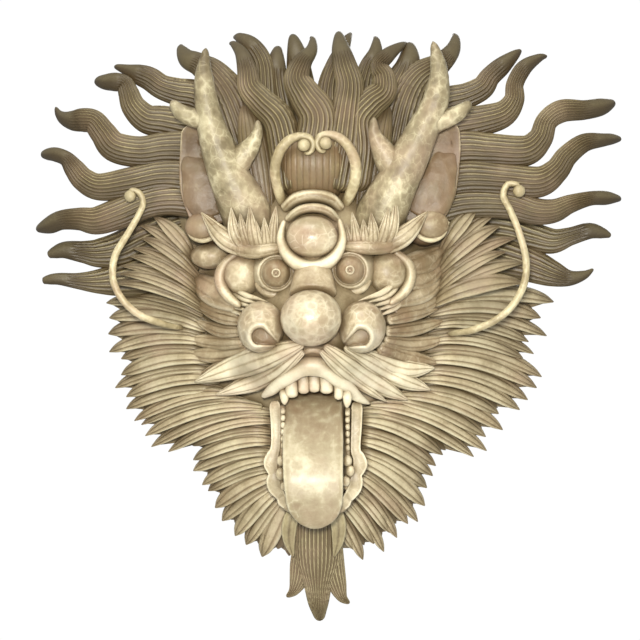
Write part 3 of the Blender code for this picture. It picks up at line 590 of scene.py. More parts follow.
# %% The rays of the ruff and the backing
LEFT_TIPS = [
    (154, 217), (140, 225), (141, 238), (132, 248), (129, 256), (120, 266), (118, 274), (113, 284),
    (128, 296), (106, 303), (109, 318), (108, 334), (109, 352), (121, 359), (121, 375), (115, 388),
    (126, 397), (126, 409), (134, 421), (141, 425), (145, 436), (151, 447), (168, 452), (193, 446),
    (193, 460), (193, 471), (202, 485), (208, 491), (215, 508), (222, 521), (235, 536), (246, 545),
    (262, 557), (289, 556), (296, 550),
]
LEFT_ROOTS = [(190, 252), (193, 288), (194, 312), (196, 345), (212, 388), (262, 412), (266, 455),
              (272, 490), (302, 512)]
RIGHT_TIPS = [
    (478, 207), (495, 214), (500, 226), (516, 238), (506, 252), (524, 263), (524, 283), (554, 302),
    (541, 318), (547, 336), (529, 342), (534, 354), (523, 358), (542, 377), (537, 388), (528, 400),
    (520, 410), (499, 414), (503, 430), (486, 437), (487, 451), (474, 457), (443, 455), (436, 466),
    (433, 476), (427, 488), (425, 506), (418, 522), (408, 524), (397, 538), (390, 533), (384, 552),
    (374, 544), (363, 560), (354, 550),
]
RIGHT_ROOTS = [(446, 244), (444, 286), (442, 312), (440, 345), (425, 388), (368, 412), (362, 455),
               (356, 490), (328, 512)]
LEAF_BOW = 0.09
VALLEY_REACH = 0.84
HAIR_LINE_Y = 200
HAIR_ROOT_SHARE = 0.6
LEAF_BACK_SHARES = (0.93, 0.86, 0.0)      # where the rings on the flat back lie between root and tip
BACKING_SINK = 5
BACKING_REACH = 0.95
INNER_RINGS = 20
OUTER_RINGS = 12


def along_line(points, share):
    """The point this share of the way down a line of evenly spaced points."""
    place = share * (len(points) - 1)
    xs, ys = zip(*points)
    return np.interp(place, range(len(points)), xs), np.interp(place, range(len(points)), ys)


def leaf_lines(tips, roots):
    """Root and tip of each leaf down one side."""
    return [(along_line(roots, k / (len(tips) - 1)), tip) for k, tip in enumerate(tips)]


def with_valleys(lines):
    """The leaves' lines with a shorter one between each two."""
    rays = lines[:1]
    for here, after in zip(lines, lines[1:]):
        root = mix(here[0], after[0], 0.5)
        rays += [(root, mix(root, mix(here[1], after[1], 0.5), VALLEY_REACH)), after]
    return rays


LEFT_LEAVES = leaf_lines(LEFT_TIPS, LEFT_ROOTS)
RIGHT_LEAVES = leaf_lines(RIGHT_TIPS, RIGHT_ROOTS)
hair_rims = sorted([rim for rim in BLOCK_OUTLINE if rim[1] < HAIR_LINE_Y], key=lambda rim: -rim[0])
backing_rays = with_valleys(LEFT_LEAVES) + with_valleys(RIGHT_LEAVES)[::-1]
backing_rays += [(mix(BLOCK_MIDDLE, rim, HAIR_ROOT_SHARE), rim) for rim in hair_rims]
print("rays of the backing:", len(backing_rays))


def make_backing():
    """The block and the plate under the ruff, with a flat back."""
    rings = INNER_RINGS + OUTER_RINGS + 1 + len(LEAF_BACK_SHARES)
    columns = len(backing_rays)
    bm, verts, places = unit_ball(columns, rings)
    ring = np.rint(np.arccos(np.clip(places[:, 2], -1, 1)) / math.pi * rings)
    column = (np.rint(np.arctan2(places[:, 1], places[:, 0]) / math.tau * columns) % columns).astype(int)
    roots = np.array([root for root, rim in backing_rays], float)[column]
    rims = np.array([rim for root, rim in backing_rays], float)[column]
    middle = np.array(BLOCK_MIDDLE, float)
    inner = np.clip(ring / INNER_RINGS, 0, 1)[:, None]
    outer = np.clip((ring - INNER_RINGS) / OUTER_RINGS, 0, 1)[:, None] * BACKING_REACH
    spots = middle + (roots - middle) * inner + (rims - roots) * outer
    depth = block_depth(spots[:, 0], spots[:, 1]) - BACKING_SINK
    on_back = ring > INNER_RINGS + OUTER_RINGS
    for k, share in enumerate(LEAF_BACK_SHARES):
        here = ring == INNER_RINGS + OUTER_RINGS + 1 + k
        spots[here] = (roots + (rims - roots) * share)[here]
    spots[ring == rings] = middle
    # The backing is painted a little darker and less rubbed, as shade under the leaves and the hair.
    lay(bm, verts, at(spots[:, 0], spots[:, 1], np.where(on_back, 0, depth)), ridge=0.3, dusk=0.15)
    return bm


finish_piece("backing_block", make_backing(), RUFF_WOOD)

# %% [markdown]
# ## The mane
# Each lock is a thick wavy ribbon with eight to fourteen gouge flutes down its front. It leaves the block,
# bows forward and bends back to a plain tip, which is painted dark: partly its own darker tone, partly
# painted shade where it turns away from the light. The locks behind lie deeper than those in front and are
# painted darker as the shade under them. Rows hold x, y and width at each bend, root first.

# %% Mane locks
FLUTE_PITCH = 5.6           # squares from crest to crest, measured round the section
FRONT_LENGTH = 1.8          # and how long the front is that way, in widths of the lock
FLUTE_DEPTH = 1.4
WIDTH_RANK = 85             # the usual width of a lock is this percentile of its widths
LOW_WIDTH_RANK = 60
STATIONS_TO_A_BEND = 12
LOCK_ARCH = 12
LOCK_FLATNESS = 0.80
HOOK_LENGTH = 12            # a lock whose last stretch is longer than this gets a hooked paddle
HOOK_BULGE = 0.2
PADDLE_WIDTH = 1.12
HOOK_WIDTH = 0.62
PLAIN_LENGTH = 24           # the flutes end this far before the tip
TIP_SHADE_LENGTH = 56            # and from here on the tip is painted darker, partly as shade
LOW_LOCKS_Y = 215           # locks rooted below this lie under the ruff's upper leaves
LOW_LOCKS_DROP = 34
ROOT_DEPTH_LEAST = 20       # so that no root comes through the flat back
# The locks behind are painted darker as the shade under the front locks, and the top locks a little, as they
# lie back from the light. shade_below paints a lock's lower side darker.
BEHIND = {"lift": -12, "tip_depth": 24, "painted_shade": 0.45, "shade_below": 0.0}
IN_FRONT = {
    "left": {"lift": 2, "tip_depth": 40, "painted_shade": 0.0, "shade_below": 1.0},
    "right": {"lift": 2, "tip_depth": 40, "painted_shade": 0.0, "shade_below": 1.0},
    "top": {"lift": 2, "tip_depth": 40, "painted_shade": 0.1, "shade_below": 0.0},
}
TOP_LEFT_X, TOP_RIGHT_X = 240, 400
LOCKS_BEHIND = [
    [(248, 150, 44), (232, 104, 42), (215, 77, 32), (200, 65, 23), (188, 59, 17), (181, 45, 3)],
    [(268, 140, 30), (264, 95, 26), (262, 65, 22), (252, 47, 17), (234, 37, 3)],
    [(285, 130, 26), (277, 87, 22), (276, 66, 17), (279, 47, 3)],
    [(305, 110, 30), (300, 78, 26), (297, 56, 18), (292, 35, 3)],
    [(332, 130, 30), (330, 92, 26), (336, 66, 18), (351, 33, 3)],
    [(358, 130, 30), (362, 92, 24), (368, 68, 18), (375, 54, 13), (375, 37, 3)],
    [(380, 140, 40), (398, 92, 36), (408, 66, 22), (407, 44, 3)],
    [(395, 150, 44), (405, 105, 42), (418, 80, 34), (440, 64, 22), (452, 51, 14), (454, 34, 3)],
]
LOCKS_IN_FRONT = [
    [(225, 118, 34), (200, 97, 30), (178, 92, 27), (162, 87, 24), (150, 79, 23), (139, 74.5, 20),
     (127, 70, 10), (115, 66.5, 3)],
    [(225, 135, 36), (195, 128, 34), (165, 122, 31), (147, 119, 28), (134, 107, 24), (128.5, 93, 20),
     (124.5, 84, 17), (115.5, 82, 18), (106, 82, 15.5), (99.5, 81.5, 11), (96, 81.5, 5)],
    [(222, 158, 38), (190, 150, 36), (165, 149, 32), (140, 152, 30), (115, 147, 29), (103, 133, 25),
     (94, 122, 23), (84, 120, 23), (74, 120.5, 20), (65, 118.5, 14), (59, 114, 8), (55.5, 107, 2.5)],
    [(215, 185, 38), (185, 178, 36), (160, 177, 32), (130, 183, 30), (100, 187, 26), (84, 180, 23),
     (74.5, 169, 20), (66.5, 159, 15), (56, 154.6, 14), (48, 154.2, 11.5), (42, 154.6, 6)],
    [(215, 205, 36), (180, 198, 34), (150, 201, 31), (120, 213, 30), (97, 220.5, 27), (80, 219, 22),
     (62, 220, 19), (50, 225, 15), (37, 229, 3)],
    [(195, 222, 32), (150, 236, 38), (122, 249, 36), (100, 253, 29), (84, 252, 22), (66, 250, 17),
     (55, 252.5, 12), (48, 255.5, 6)],
    [(195, 250, 34), (150, 272, 42), (120, 279, 34), (98, 281.5, 24), (78, 281, 16), (60, 279, 12),
     (50, 279.5, 10), (42.5, 281, 6)],
    [(425, 118, 34), (445, 102, 28), (466, 96, 25), (482, 88, 23), (490, 77, 20), (502, 66, 16),
     (521, 50, 3)],
    [(420, 135, 36), (452, 126, 34), (480, 121, 30), (503, 114, 26), (514, 100, 20), (515, 84, 17),
     (524, 68, 14), (547, 56, 3)],
    [(425, 158, 38), (460, 149, 36), (490, 150, 32), (524, 151, 30), (540, 139, 24), (547, 121, 21),
     (562, 111, 22), (584, 110, 19), (601, 107, 15), (613, 102, 4)],
    [(430, 185, 38), (465, 178, 36), (505, 180, 32), (538, 182, 30), (556, 171, 24), (567, 156, 21),
     (584, 143, 18), (603, 140, 13), (613, 139, 10), (621, 139, 4)],
    [(430, 210, 36), (465, 202, 34), (505, 203, 30), (534, 211, 26), (553, 211, 23), (570, 204, 18),
     (590, 198.5, 14), (606, 198, 12), (620, 199, 4)],
    [(450, 225, 34), (500, 228, 34), (530, 236, 29), (552, 241, 25), (570, 236.5, 18), (589, 231, 16),
     (602, 233, 11), (611, 236, 4)],
    [(455, 245, 34), (500, 256, 40), (530, 265, 34), (552, 273.5, 26), (569, 278, 16), (584, 275, 9),
     (593.5, 269, 2.5)],
    [(292, 192, 34), (286, 150, 32), (279, 120, 30), (262, 102, 26), (250, 88, 23), (247, 70, 19),
     (242, 54, 12), (230, 43, 3)],
    [(313, 192, 36), (314, 150, 38), (318, 118, 38), (306, 97, 32), (297, 80, 26), (302, 63, 19),
     (311, 51, 11), (311, 37, 3)],
    [(335, 192, 34), (342, 150, 36), (347, 112, 32), (350, 86, 27), (345, 66, 23), (341, 50, 16),
     (339, 32, 3)],
    [(352, 192, 34), (358, 150, 34), (357, 120, 32), (370, 103, 29), (383, 92, 25), (384, 78, 22),
     (379, 66, 17), (388, 55, 13), (407, 43, 3)],
]


def with_hook(points):
    """A lock's points with one more where its paddle narrows, so that the tip hooks over."""
    before, paddle, tip = points[-3:]
    if math.dist(paddle[:2], tip[:2]) < HOOK_LENGTH:
        return points
    x, y = mix(paddle, tip, 0.55)
    x, y = x + HOOK_BULGE * (paddle[0] - before[0]), y + HOOK_BULGE * (paddle[1] - before[1])
    return points[:-2] + [(*paddle[:2], paddle[2] * PADDLE_WIDTH), (x, y, paddle[2] * HOOK_WIDTH), tip]


def lock_rows(points, lift, tip_depth):
    """Rows of a lock, which leaves the block, bows forward and bends back to its tip."""
    root_depth = max(float(block_depth(*points[0][:2])) + lift, ROOT_DEPTH_LEAST)
    rows = []
    for k, (x, y, width) in enumerate(points):
        share = k / (len(points) - 1)
        depth = root_depth + (tip_depth - root_depth) * share ** 1.5 + LOCK_ARCH * math.sin(math.pi * share)
        rows.append((x, y, depth, width))
    return rows


def share_before_tip(rows, reach):
    """The share t of a line that lies this many squares before its tip."""
    t = np.linspace(0, 1, 200)
    steps = np.linalg.norm(np.diff(curve(rows, t)[:, :2], axis=0), axis=1)
    left = steps.sum() - np.concatenate([[0], np.cumsum(steps)])
    return float(np.interp(-reach, -left, t))


def carve_locks(locks, lift, tip_depth, painted_shade, shade_below):
    """Fluted locks, painted dark towards their tips: partly their own tone, partly painted shade."""
    bm = new_carving()
    for points in locks:
        low = LOW_LOCKS_Y < points[0][1]
        usual_width = np.percentile([width for x, y, width in points], LOW_WIDTH_RANK if low else WIDTH_RANK)
        flutes = round(FRONT_LENGTH * usual_width / FLUTE_PITCH)
        rows = lock_rows(with_hook(points), lift - LOW_LOCKS_DROP * low, tip_depth)
        plain, dim = share_before_tip(rows, PLAIN_LENGTH), share_before_tip(rows, TIP_SHADE_LENGTH)
        sweep(bm, rows, stations=STATIONS_TO_A_BEND * len(points), flatness=LOCK_FLATNESS,
              flutes=flutes, groove=FLUTE_DEPTH, tip_round=0.03, plain_from=plain,
              shade_below=shade_below * (0.4 if low else 1),
              dusk=lambda t, u: np.maximum(painted_shade, smooth_step(t, dim, plain)))
    return bm


locks_of = {"left": [], "right": [], "top": []}
for lock in LOCKS_IN_FRONT:
    root_x = lock[0][0]
    locks_of["left" if root_x < TOP_LEFT_X else "right" if root_x > TOP_RIGHT_X else "top"].append(lock)
for side, look in IN_FRONT.items():
    finish_piece(f"mane_locks_{side}", carve_locks(locks_of[side], **look), MANE_WOOD_WITH_SHADE)
finish_piece("mane_locks_behind", carve_locks(LOCKS_BEHIND, **BEHIND), MANE_WOOD_WITH_SHADE)

# %% Forehead hair
# Each: the number of bands, how red it is, how dark, and rows of x, y, depth and width
FOREHEAD_HAIR = [
    (15, 0.6, 0.0, [(313, 198, 84, 46), (313, 184, 99, 58), (313, 160, 107, 62), (313, 140, 96, 56)]),
    (8, 0.2, 0.3, [(268, 228, 90, 14), (262, 195, 92, 24), (256, 160, 92, 30), (250, 125, 88, 24),
                   (246, 104, 80, 10)]),
    (8, 0.2, 0.3, [(360, 228, 90, 14), (367, 195, 92, 24), (373, 160, 92, 30), (380, 125, 88, 24),
                   (386, 104, 80, 10)]),
]
forehead_hair = new_carving()
for bands, redness, darkness, rows in FOREHEAD_HAIR:
    sweep(forehead_hair, rows, flatness=0.5, bands=bands, groove=0.6, blush=redness, dusk=darkness)
finish_piece("forehead_hair", forehead_hair, MANE_WOOD_WITH_SHADE)

# %% [markdown]
# ## The ruff
# Long pointed leaves fan out from the cheeks and the jaw. Each is bowed upward and leans, so that its lower
# edge stands over the next leaf and throws a thin shadow on it. Two lines are cut down every leaf. The
# upper leaves are slim spears that lie on the mane, and a second, lower row shows between the others.

# %% Ruff leaves
# How wide a leaf is at each share of the way from root to tip
LEAF_SWELL = [(0.45, -0.16), (0.86, 0.10), (1.02, 0.35), (1.06, 0.56), (0.95, 0.75), (0.64, 0.90),
              (0.06, 1.0)]
SPEAR_SWELL = [(0.45, -0.16), (0.80, 0.10), (1.0, 0.30), (0.98, 0.48), (0.78, 0.68), (0.44, 0.86),
               (0.05, 1.0)]
LEAF_ROOT_SINK = 12         # the root of a leaf dips by this under the forms of the face
LEAF_OVERLAP = 1.30         # width of a leaf, as a share of the pitch of the leaves
LEAST_LEAF_WIDTH = 12
LEAST_SPEAR_WIDTH = 12.5
MOST_LEAF_WIDTH = 20
LEAF_LIFTS = (10, 6)
HIGH_LEAF_DEPTH = 66        # the upper leaves lie on the mane's low locks
LOW_LEAF_Y = 300            # and those with tips below this don't
LIT_LEAF_Y = 440            # leaves with tips above this are painted darker with height as shade, up to the share on the next line
UPPER_LEAF_SHADE = 0.2
RED_LEAF_EVERY = 5          # old red shows on every fifth leaf
LEAF_LEAN = 0.34
LEAF_FLATNESS = 0.55
LEAF_GROOVE = 1.7
UNDER_LEAF_REACH = 0.86


def leaf_rows(root, tip, width, lift):
    """Rows of a leaf that lies on the block, or on the mane's low locks, and bows upward."""
    floor_depth = HIGH_LEAF_DEPTH * min(max((LOW_LEAF_Y - tip[1]) / 15, 0), 1)
    rows = []
    for swell, share in SPEAR_SWELL if tip[1] < LOW_LEAF_Y else LEAF_SWELL:
        x, y = mix(root, tip, share)
        y -= math.dist(root, tip) * LEAF_BOW * 4 * share * (1 - share)
        depth = max(float(block_depth(x, y)), floor_depth) + lift * (1 - 0.35 * max(share, 0) ** 2)
        rows.append((x, y, depth - LEAF_ROOT_SINK * (share < 0), width * swell))
    return rows


def pitch_at(lines, k):
    """How far apart the leaves are beside leaf k, measured across it."""
    root, tip = lines[k]
    length = math.dist(root, tip)
    gaps = []
    for other in lines[max(k - 1, 0):k] + lines[k + 1:k + 2]:
        here, there = mix(root, tip, 0.6), mix(*other, 0.6)
        gaps.append(abs((there[0] - here[0]) * (tip[1] - root[1])
                        - (there[1] - here[1]) * (tip[0] - root[0])) / length)
    return sum(gaps) / len(gaps)


def carve_leaves(lines, lean):
    """The leaves of one side, with the lower row between them."""
    bm = new_carving()
    low = math.copysign(1, lean)
    for k, (root, tip) in enumerate(lines):
        high = tip[1] < LOW_LEAF_Y
        upper = UPPER_LEAF_SHADE * min(max((LIT_LEAF_Y - tip[1]) / 100, 0), 1)
        least = LEAST_SPEAR_WIDTH if high else LEAST_LEAF_WIDTH
        width = min(max(LEAF_OVERLAP * pitch_at(lines, k), least), MOST_LEAF_WIDTH)
        # Painted light: the edge tucked under the neighbouring leaf is painted darker as its shadow, the
        # raised edge a little lighter, partly rubbed and partly painted light, and the upper leaves less
        # rubbed and darker as shade. All leaves darken towards their tips.
        sweep(bm, leaf_rows(root, tip, width, LEAF_LIFTS[k % 2]), flatness=LEAF_FLATNESS, bands=3,
              groove=LEAF_GROOVE, lean=lean, tip_round=0.02, blush=0.22 if k % RED_LEAF_EVERY == 3 else 0.0,
              ridge=lambda t, u: (0.62 - 0.32 * high + 0.4 * smooth_step(np.abs(u), 0.66, 0.86)
                                  + 0.12 * (u * low > 0) - 0.35 * smooth_step(t, 0.5, 0.95)),
              dusk=lambda t, u: (upper + 0.34 * smooth_step(t, 0.6, 1.0)
                                 + 0.22 * smooth_step(-u * low, 0.5, 0.95)))
        if k + 1 < len(lines) and not high:
            # The lower row is painted dark and little rubbed, as the shade between the leaves over it.
            under_root = mix(root, lines[k + 1][0], 0.5)
            under_tip = mix(under_root, mix(tip, lines[k + 1][1], 0.5), UNDER_LEAF_REACH)
            sweep(bm, leaf_rows(under_root, under_tip, width, 0), around=12, stations=18,
                  flatness=LEAF_FLATNESS, lean=lean, tip_round=0.03, ridge=0.15, dusk=0.5)
    return bm


finish_piece("ruff_leaves_left", carve_leaves(LEFT_LEAVES, -LEAF_LEAN), RUFF_WOOD)
finish_piece("ruff_leaves_right", carve_leaves(RIGHT_LEAVES, LEAF_LEAN), RUFF_WOOD)

# %% [markdown]
# ## Tufts on the face
# Flames stand on the brows, leaves lie on the cheeks, and a moustache sweeps from under the nose. They are
# all short blades with incised lines, so a list for each kind gives the width, the depth at the root and
# at the tip, and then the root, a bend and the tip. Only the flames' depths count from the wall.

# %% Tufts
TUFT_FLATNESS = 0.8
FLAME_SWELL = (0.9, 1.05, 1.05, 0.85, 0.48, 0.04)
LEAF_BLADE_SWELL = (0.7, 0.95, 1.08, 1.0, 0.66, 0.06)
BROW_FLAMES = [
    (19, 108, 112, (246, 249), (222, 236), (201, 212)),
    (14, 110, 120, (247, 251), (235, 233), (231, 207)),
    (12, 111, 121, (251, 252), (244, 234), (240, 213)),
    (14, 111, 122, (257, 253), (252, 232), (249.5, 206)),
    (12, 111, 121, (262, 253), (258, 239), (256, 221)),
    (12, 111, 121, (268, 253), (266, 238), (264, 217)),
    (13, 111, 119, (274, 252), (273, 234), (276, 206)),
    (11, 110, 118, (280, 250), (281, 238), (284, 221)),
    (19, 108, 112, (385, 246), (407, 233), (428, 211)),
    (14, 110, 120, (383, 249), (392, 226), (396, 193)),
    (13, 111, 121, (378, 249), (385, 229), (388.5, 207)),
    (13, 111, 122, (372, 250), (373, 233), (371, 212)),
    (12, 111, 121, (365, 251), (365, 236), (363, 219)),
    (12, 111, 120, (358, 251), (356, 235), (352, 212)),
    (11, 110, 118, (351, 251), (349, 238), (345, 223)),
]
CHEEK_LEAVES = [
    (25, 4, 6, (240, 305), (212, 291), (187, 273)),
    (15, 3, 5, (240, 316), (212, 307), (189, 297)),
    (12, 6, 8, (242, 321), (222, 317), (198, 309)),
    (13, 3, 6, (242, 331), (220, 330), (194, 320)),
    (15, 3, 5, (244, 342), (215, 342), (182, 338)),
    (16, 5, 7, (250, 350), (217, 355), (184, 353)),
    (14, 6, 9, (262, 354), (232, 362), (200, 374)),
    (24, 6, 12, (400, 268), (424, 262), (449, 246)),
    (22, 4, 8, (400, 283), (424, 278), (449, 260)),
    (20, 4, 6, (394, 301), (424, 291), (449, 272)),
    (17, 2, 4, (392, 313), (424, 304), (450, 288)),
    (13, 6, 8, (388, 320), (412, 314), (438, 309)),
    (14, 3, 6, (386, 331), (415, 328), (447, 320)),
    (15, 3, 5, (384, 340), (415, 344), (450, 338)),
    (17, 6, 9, (378, 347), (410, 359), (439, 363)),
]
CHEEK_FLOWS = [
    (5.5, 10, 10, (231, 278), (242, 293), (268, 302)),
    (5.5, 9, 10, (226, 281), (237, 296), (262, 305)),
    (5.5, 8, 10, (223, 286), (233, 300), (257, 308)),
    (5.5, 8, 9, (222, 291), (231, 304), (252, 312)),
    (5.5, 8, 9, (222, 297), (230, 308), (247, 317)),
    (5.5, 10, 10, (397, 275), (385, 291), (358, 301)),
    (5.5, 9, 10, (402, 278), (390, 294), (364, 304)),
    (5.5, 8, 10, (405, 283), (394, 298), (369, 308)),
    (5.5, 8, 9, (405, 289), (396, 302), (374, 312)),
    (5.5, 8, 9, (404, 296), (396, 307), (379, 316)),
]
MOUSTACHE = [
    (24, 8, 22, (304, 343), (250, 362), (194, 382)),
    (21, 8, 20, (302, 349), (264, 376), (216, 395)),
    (13, 8, 14, (304, 352), (281, 368), (256, 392)),
    (19, 8, 16, (366, 352), (402, 368), (435, 368)),
    (19, 8, 18, (344, 347), (394, 375), (431, 390)),
    (19, 8, 20, (324, 345), (372, 380), (408, 400)),
    (15, 8, 20, (320, 350), (350, 375), (387, 402)),
]
MOUSTACHE_SWELL = (0.3, 0.8, 1.05, 1.0, 0.66, 0.06)


def rimmed(t, u):
    """Rubbed pale along both edges of a blade."""
    return 0.26 + 0.5 * smooth_step(np.abs(u), 0.66, 0.9)


def carve_tufts(tufts, bands, swells, on_block=True, groove=1.1, **paint):
    """Short blades with incised lines. Their depths count from the block, or from the wall."""
    bm = new_carving()
    for width, root_depth, tip_depth, root, bend, tip in tufts:
        spine = curve([root, bend, tip], np.linspace(0, 1, len(swells)))
        rows = []
        for (x, y), share, swell in zip(spine, np.linspace(0, 1, len(swells)), swells):
            depth = root_depth + (tip_depth - root_depth) * share
            if on_block:
                depth += float(block_depth(x, y))
            rows.append((x, y, depth, width * swell))
        sweep(bm, rows, flatness=TUFT_FLATNESS, bands=bands, groove=groove, tip_round=0.02, **paint)
    return bm


for name, carving in (
        ("brow_flames", carve_tufts(BROW_FLAMES, 4, FLAME_SWELL, on_block=False, ridge=rimmed)),
        ("cheek_leaves", carve_tufts(CHEEK_LEAVES, 3, LEAF_BLADE_SWELL, ridge=rimmed, blush=0.3)),
        ("cheek_flows", carve_tufts(CHEEK_FLOWS, 0, MOUSTACHE_SWELL, ridge=0.8)),
        ("moustache", carve_tufts(MOUSTACHE, 4, MOUSTACHE_SWELL, groove=0.8, ridge=0.9))):
    finish_piece(name, carving, FACE_WOOD)

# %% [markdown]
# ## Turned forms: eyes and pearl
# An eye is a boss with a ringed pupil inside a round lid, and the pearl is a plain polished boss. Such
# forms are round about the line of sight, so a profile is spun: the operator turns an edge chain about an
# axis and merges the last copy with the first.

# %% Spun bosses
SPIN_STEPS = 56
EYES = [(276, 273), (350, 270)]
EYE_DEPTH = 112
EYE_PROFILE = [(0, 16.8), (1.2, 16.6), (1.9, 15.8), (2.8, 16.0), (3.6, 16.8), (4.6, 16.2), (5.2, 15.4),
               (8, 13.8), (11, 11.2), (13.4, 7.6), (14.4, 5.4), (15.2, 5.2), (16.2, 6.0), (17.6, 6.3),
               (19.0, 5.0), (20.4, 2.2), (23, -2), (26, -8), (26, -16), (0, -16)]
PUPIL_RING_RADIUS = 3.6
EYE_DOME_RADIUS = 13.8
PEARL = (312, 237, 118)
PEARL_REACH = (26.5, 21.5, 19)


def spin_profile(bm, place, profile, squash=(1, 1), ridge=0.5, blush=0.0, dusk=0.0, smooth=True):
    """Spin a profile of radius and height about the line of sight through a place of x, y and depth."""
    rows = np.array(profile, float)
    if smooth:
        rows = curve(rows, np.linspace(0, 1, 4 * len(rows)))
        rows[:, 0] = np.maximum(rows[:, 0], 0)
    before = set(bm.verts)
    chain = [bm.verts.new((radius, -height, 0)) for radius, height in rows]
    edges = [bm.edges.new(pair) for pair in zip(chain, chain[1:])]
    bmesh.ops.spin(bm, geom=chain + edges, cent=(0, 0, 0), axis=(0, 1, 0), angle=math.tau, steps=SPIN_STEPS,
                   use_merge=True)
    turned = [vert for vert in bm.verts if vert not in before]
    bmesh.ops.remove_doubles(bm, verts=turned, dist=0.001)
    turned = [vert for vert in bm.verts if vert not in before]
    local = np.array([vert.co for vert in turned])
    across, out, up = local.T
    points = at(place[0] + across * squash[0], place[1] - up * squash[1], place[2] - out)
    radius = np.hypot(across, up)
    lay(bm, turned, points, ridge=painted(ridge, radius), blush=painted(blush, radius), dusk=dusk)


def on_pupil_ring(radius):
    """True on the ring of the pupil."""
    return np.abs(radius - PUPIL_RING_RADIUS) < 1


eyes = new_carving()
for x, y in EYES:
    spin_profile(eyes, (x, y, EYE_DEPTH), EYE_PROFILE, dusk=0.1,
                 ridge=lambda radius: 0.42 + 0.12 * (radius > EYE_DOME_RADIUS) + 0.4 * on_pupil_ring(radius),
                 blush=lambda radius: 0.8 * (radius < EYE_DOME_RADIUS) * ~on_pupil_ring(radius))
finish_piece("eyes", eyes, FACE_WOOD)

pearl_profile = [(PEARL_REACH[0] * math.sin(turn), PEARL_REACH[2] * math.cos(turn))
                 for turn in np.linspace(0, math.pi, 24)]
pearl = new_carving()
spin_profile(pearl, PEARL, pearl_profile, squash=(1, PEARL_REACH[1] / PEARL_REACH[0]), ridge=0.4,
             smooth=False)
finish_piece("forehead_pearl", pearl, LACQUERED_WOOD)

# %% [markdown]
# ## Ridges and rings
# The brows, the rings over the pearl, its crescent setting, the ridges round the cheeks, the lower lids and
# the rims of the ears' lobes are round-worked bars, so the same sweep makes them without flutes. A dished
# section gives the ears their rims.

# %% Brows, rings and ridges
BROWS = [
    [(287, 246, 114, 8), (272, 249, 115, 13), (254, 251, 112, 15), (238, 247, 107, 15), (224, 236, 102, 8)],
    [(341, 246, 114, 8), (356, 247, 115, 13), (374, 247, 112, 15), (391, 244, 107, 15), (406, 233, 102, 8)],
]
FOREHEAD_RINGS = [
    [(289, 193, 90, 8), (299, 187, 95, 9), (313, 184, 97, 9), (327, 187, 95, 9), (338, 193, 90, 8)],
    [(285, 208, 96, 11), (297, 199, 105, 13), (313, 196, 108, 13), (329, 199, 105, 13), (340, 208, 96, 11)],
    [(288, 220, 104, 8), (299, 211, 113, 9), (313, 208, 116, 9), (327, 211, 113, 9), (337, 220, 104, 8)],
]
PEARL_COLLAR = [(284, 220, 118, 4), (281, 240, 119, 9), (291, 259, 120, 13), (312, 267.5, 121, 15),
                (332, 259, 120, 13), (342, 240, 119, 9), (339, 218, 118, 4)]
CHEEK_RIDGES = [
    [(238, 252, 103, 7), (224, 265, 100, 10), (220, 280, 99, 11), (227, 295, 102, 10), (241, 307, 108, 6)],
    [(394, 251, 103, 7), (408, 264, 100, 10), (410, 279, 99, 11), (403, 293, 102, 10), (389, 304, 108, 6)],
]
BROW_MASSES = [(255, 240, 104, 33, 13, 10), (374, 239, 104, 33, 13, 10)]
NOSE_BRIDGE = [(313, 250, 108, 24), (313, 272, 118, 36), (313, 296, 132, 44)]
LOWER_LIDS = [
    [(256, 282, 109, 5), (264, 291, 111, 9), (279, 295, 112, 10), (295, 286, 111, 6)],
    [(370, 279, 109, 5), (362, 288, 111, 9), (347, 292, 112, 10), (331, 283, 111, 6)],
]
PHILTRUM = [(294, 362, 112, 3), (303, 353, 119, 5), (313, 349.5, 121, 6), (323, 353, 119, 5),
            (333, 362, 112, 3)]
CHEEK_BULGES = [(243, 274, 98, 20, 22, 15), (387, 272, 98, 20, 22, 15)]
CHEEK_LOBE = (210, 256, 76, 20, 13, 17)

ridges = new_carving()
for rows in BROWS:
    sweep(ridges, rows, stations=40, flatness=1.2, bands=3, groove=0.6, ridge=0.2)
for rows in FOREHEAD_RINGS:
    sweep(ridges, rows, around=36, stations=44, flatness=1.6, root_round=0.05,
          ridge=lambda t, u: 0.9 - 0.75 * np.exp(-(u / 0.26) ** 2))
sweep(ridges, PEARL_COLLAR, around=32, stations=60, flatness=1.15, ridge=0.75)
for rows in CHEEK_RIDGES:
    sweep(ridges, rows, around=24, stations=40, flatness=1.0,
          ridge=lambda t, u: 0.3 + 0.35 * np.exp(-(u / 0.4) ** 2))
for rows in LOWER_LIDS + [PHILTRUM]:
    sweep(ridges, rows, around=20, stations=40, flatness=0.8, ridge=0.48, blush=0.15)
sweep(ridges, NOSE_BRIDGE, around=40, flatness=0.7, ridge=0.45, blush=0.5)
for place in BROW_MASSES:
    ball(ridges, place, ridge=0.35)
for place in CHEEK_BULGES:
    ball(ridges, place, segments=64, cells=(9, 0.6, 17), ridge=0.5, blush=0.2)
ball(ridges, CHEEK_LOBE, segments=64, cells=(11, 0.8, 12), ridge=0.3, blush=0.45)
finish_piece("brows_and_ridges", ridges, FACE_WOOD)

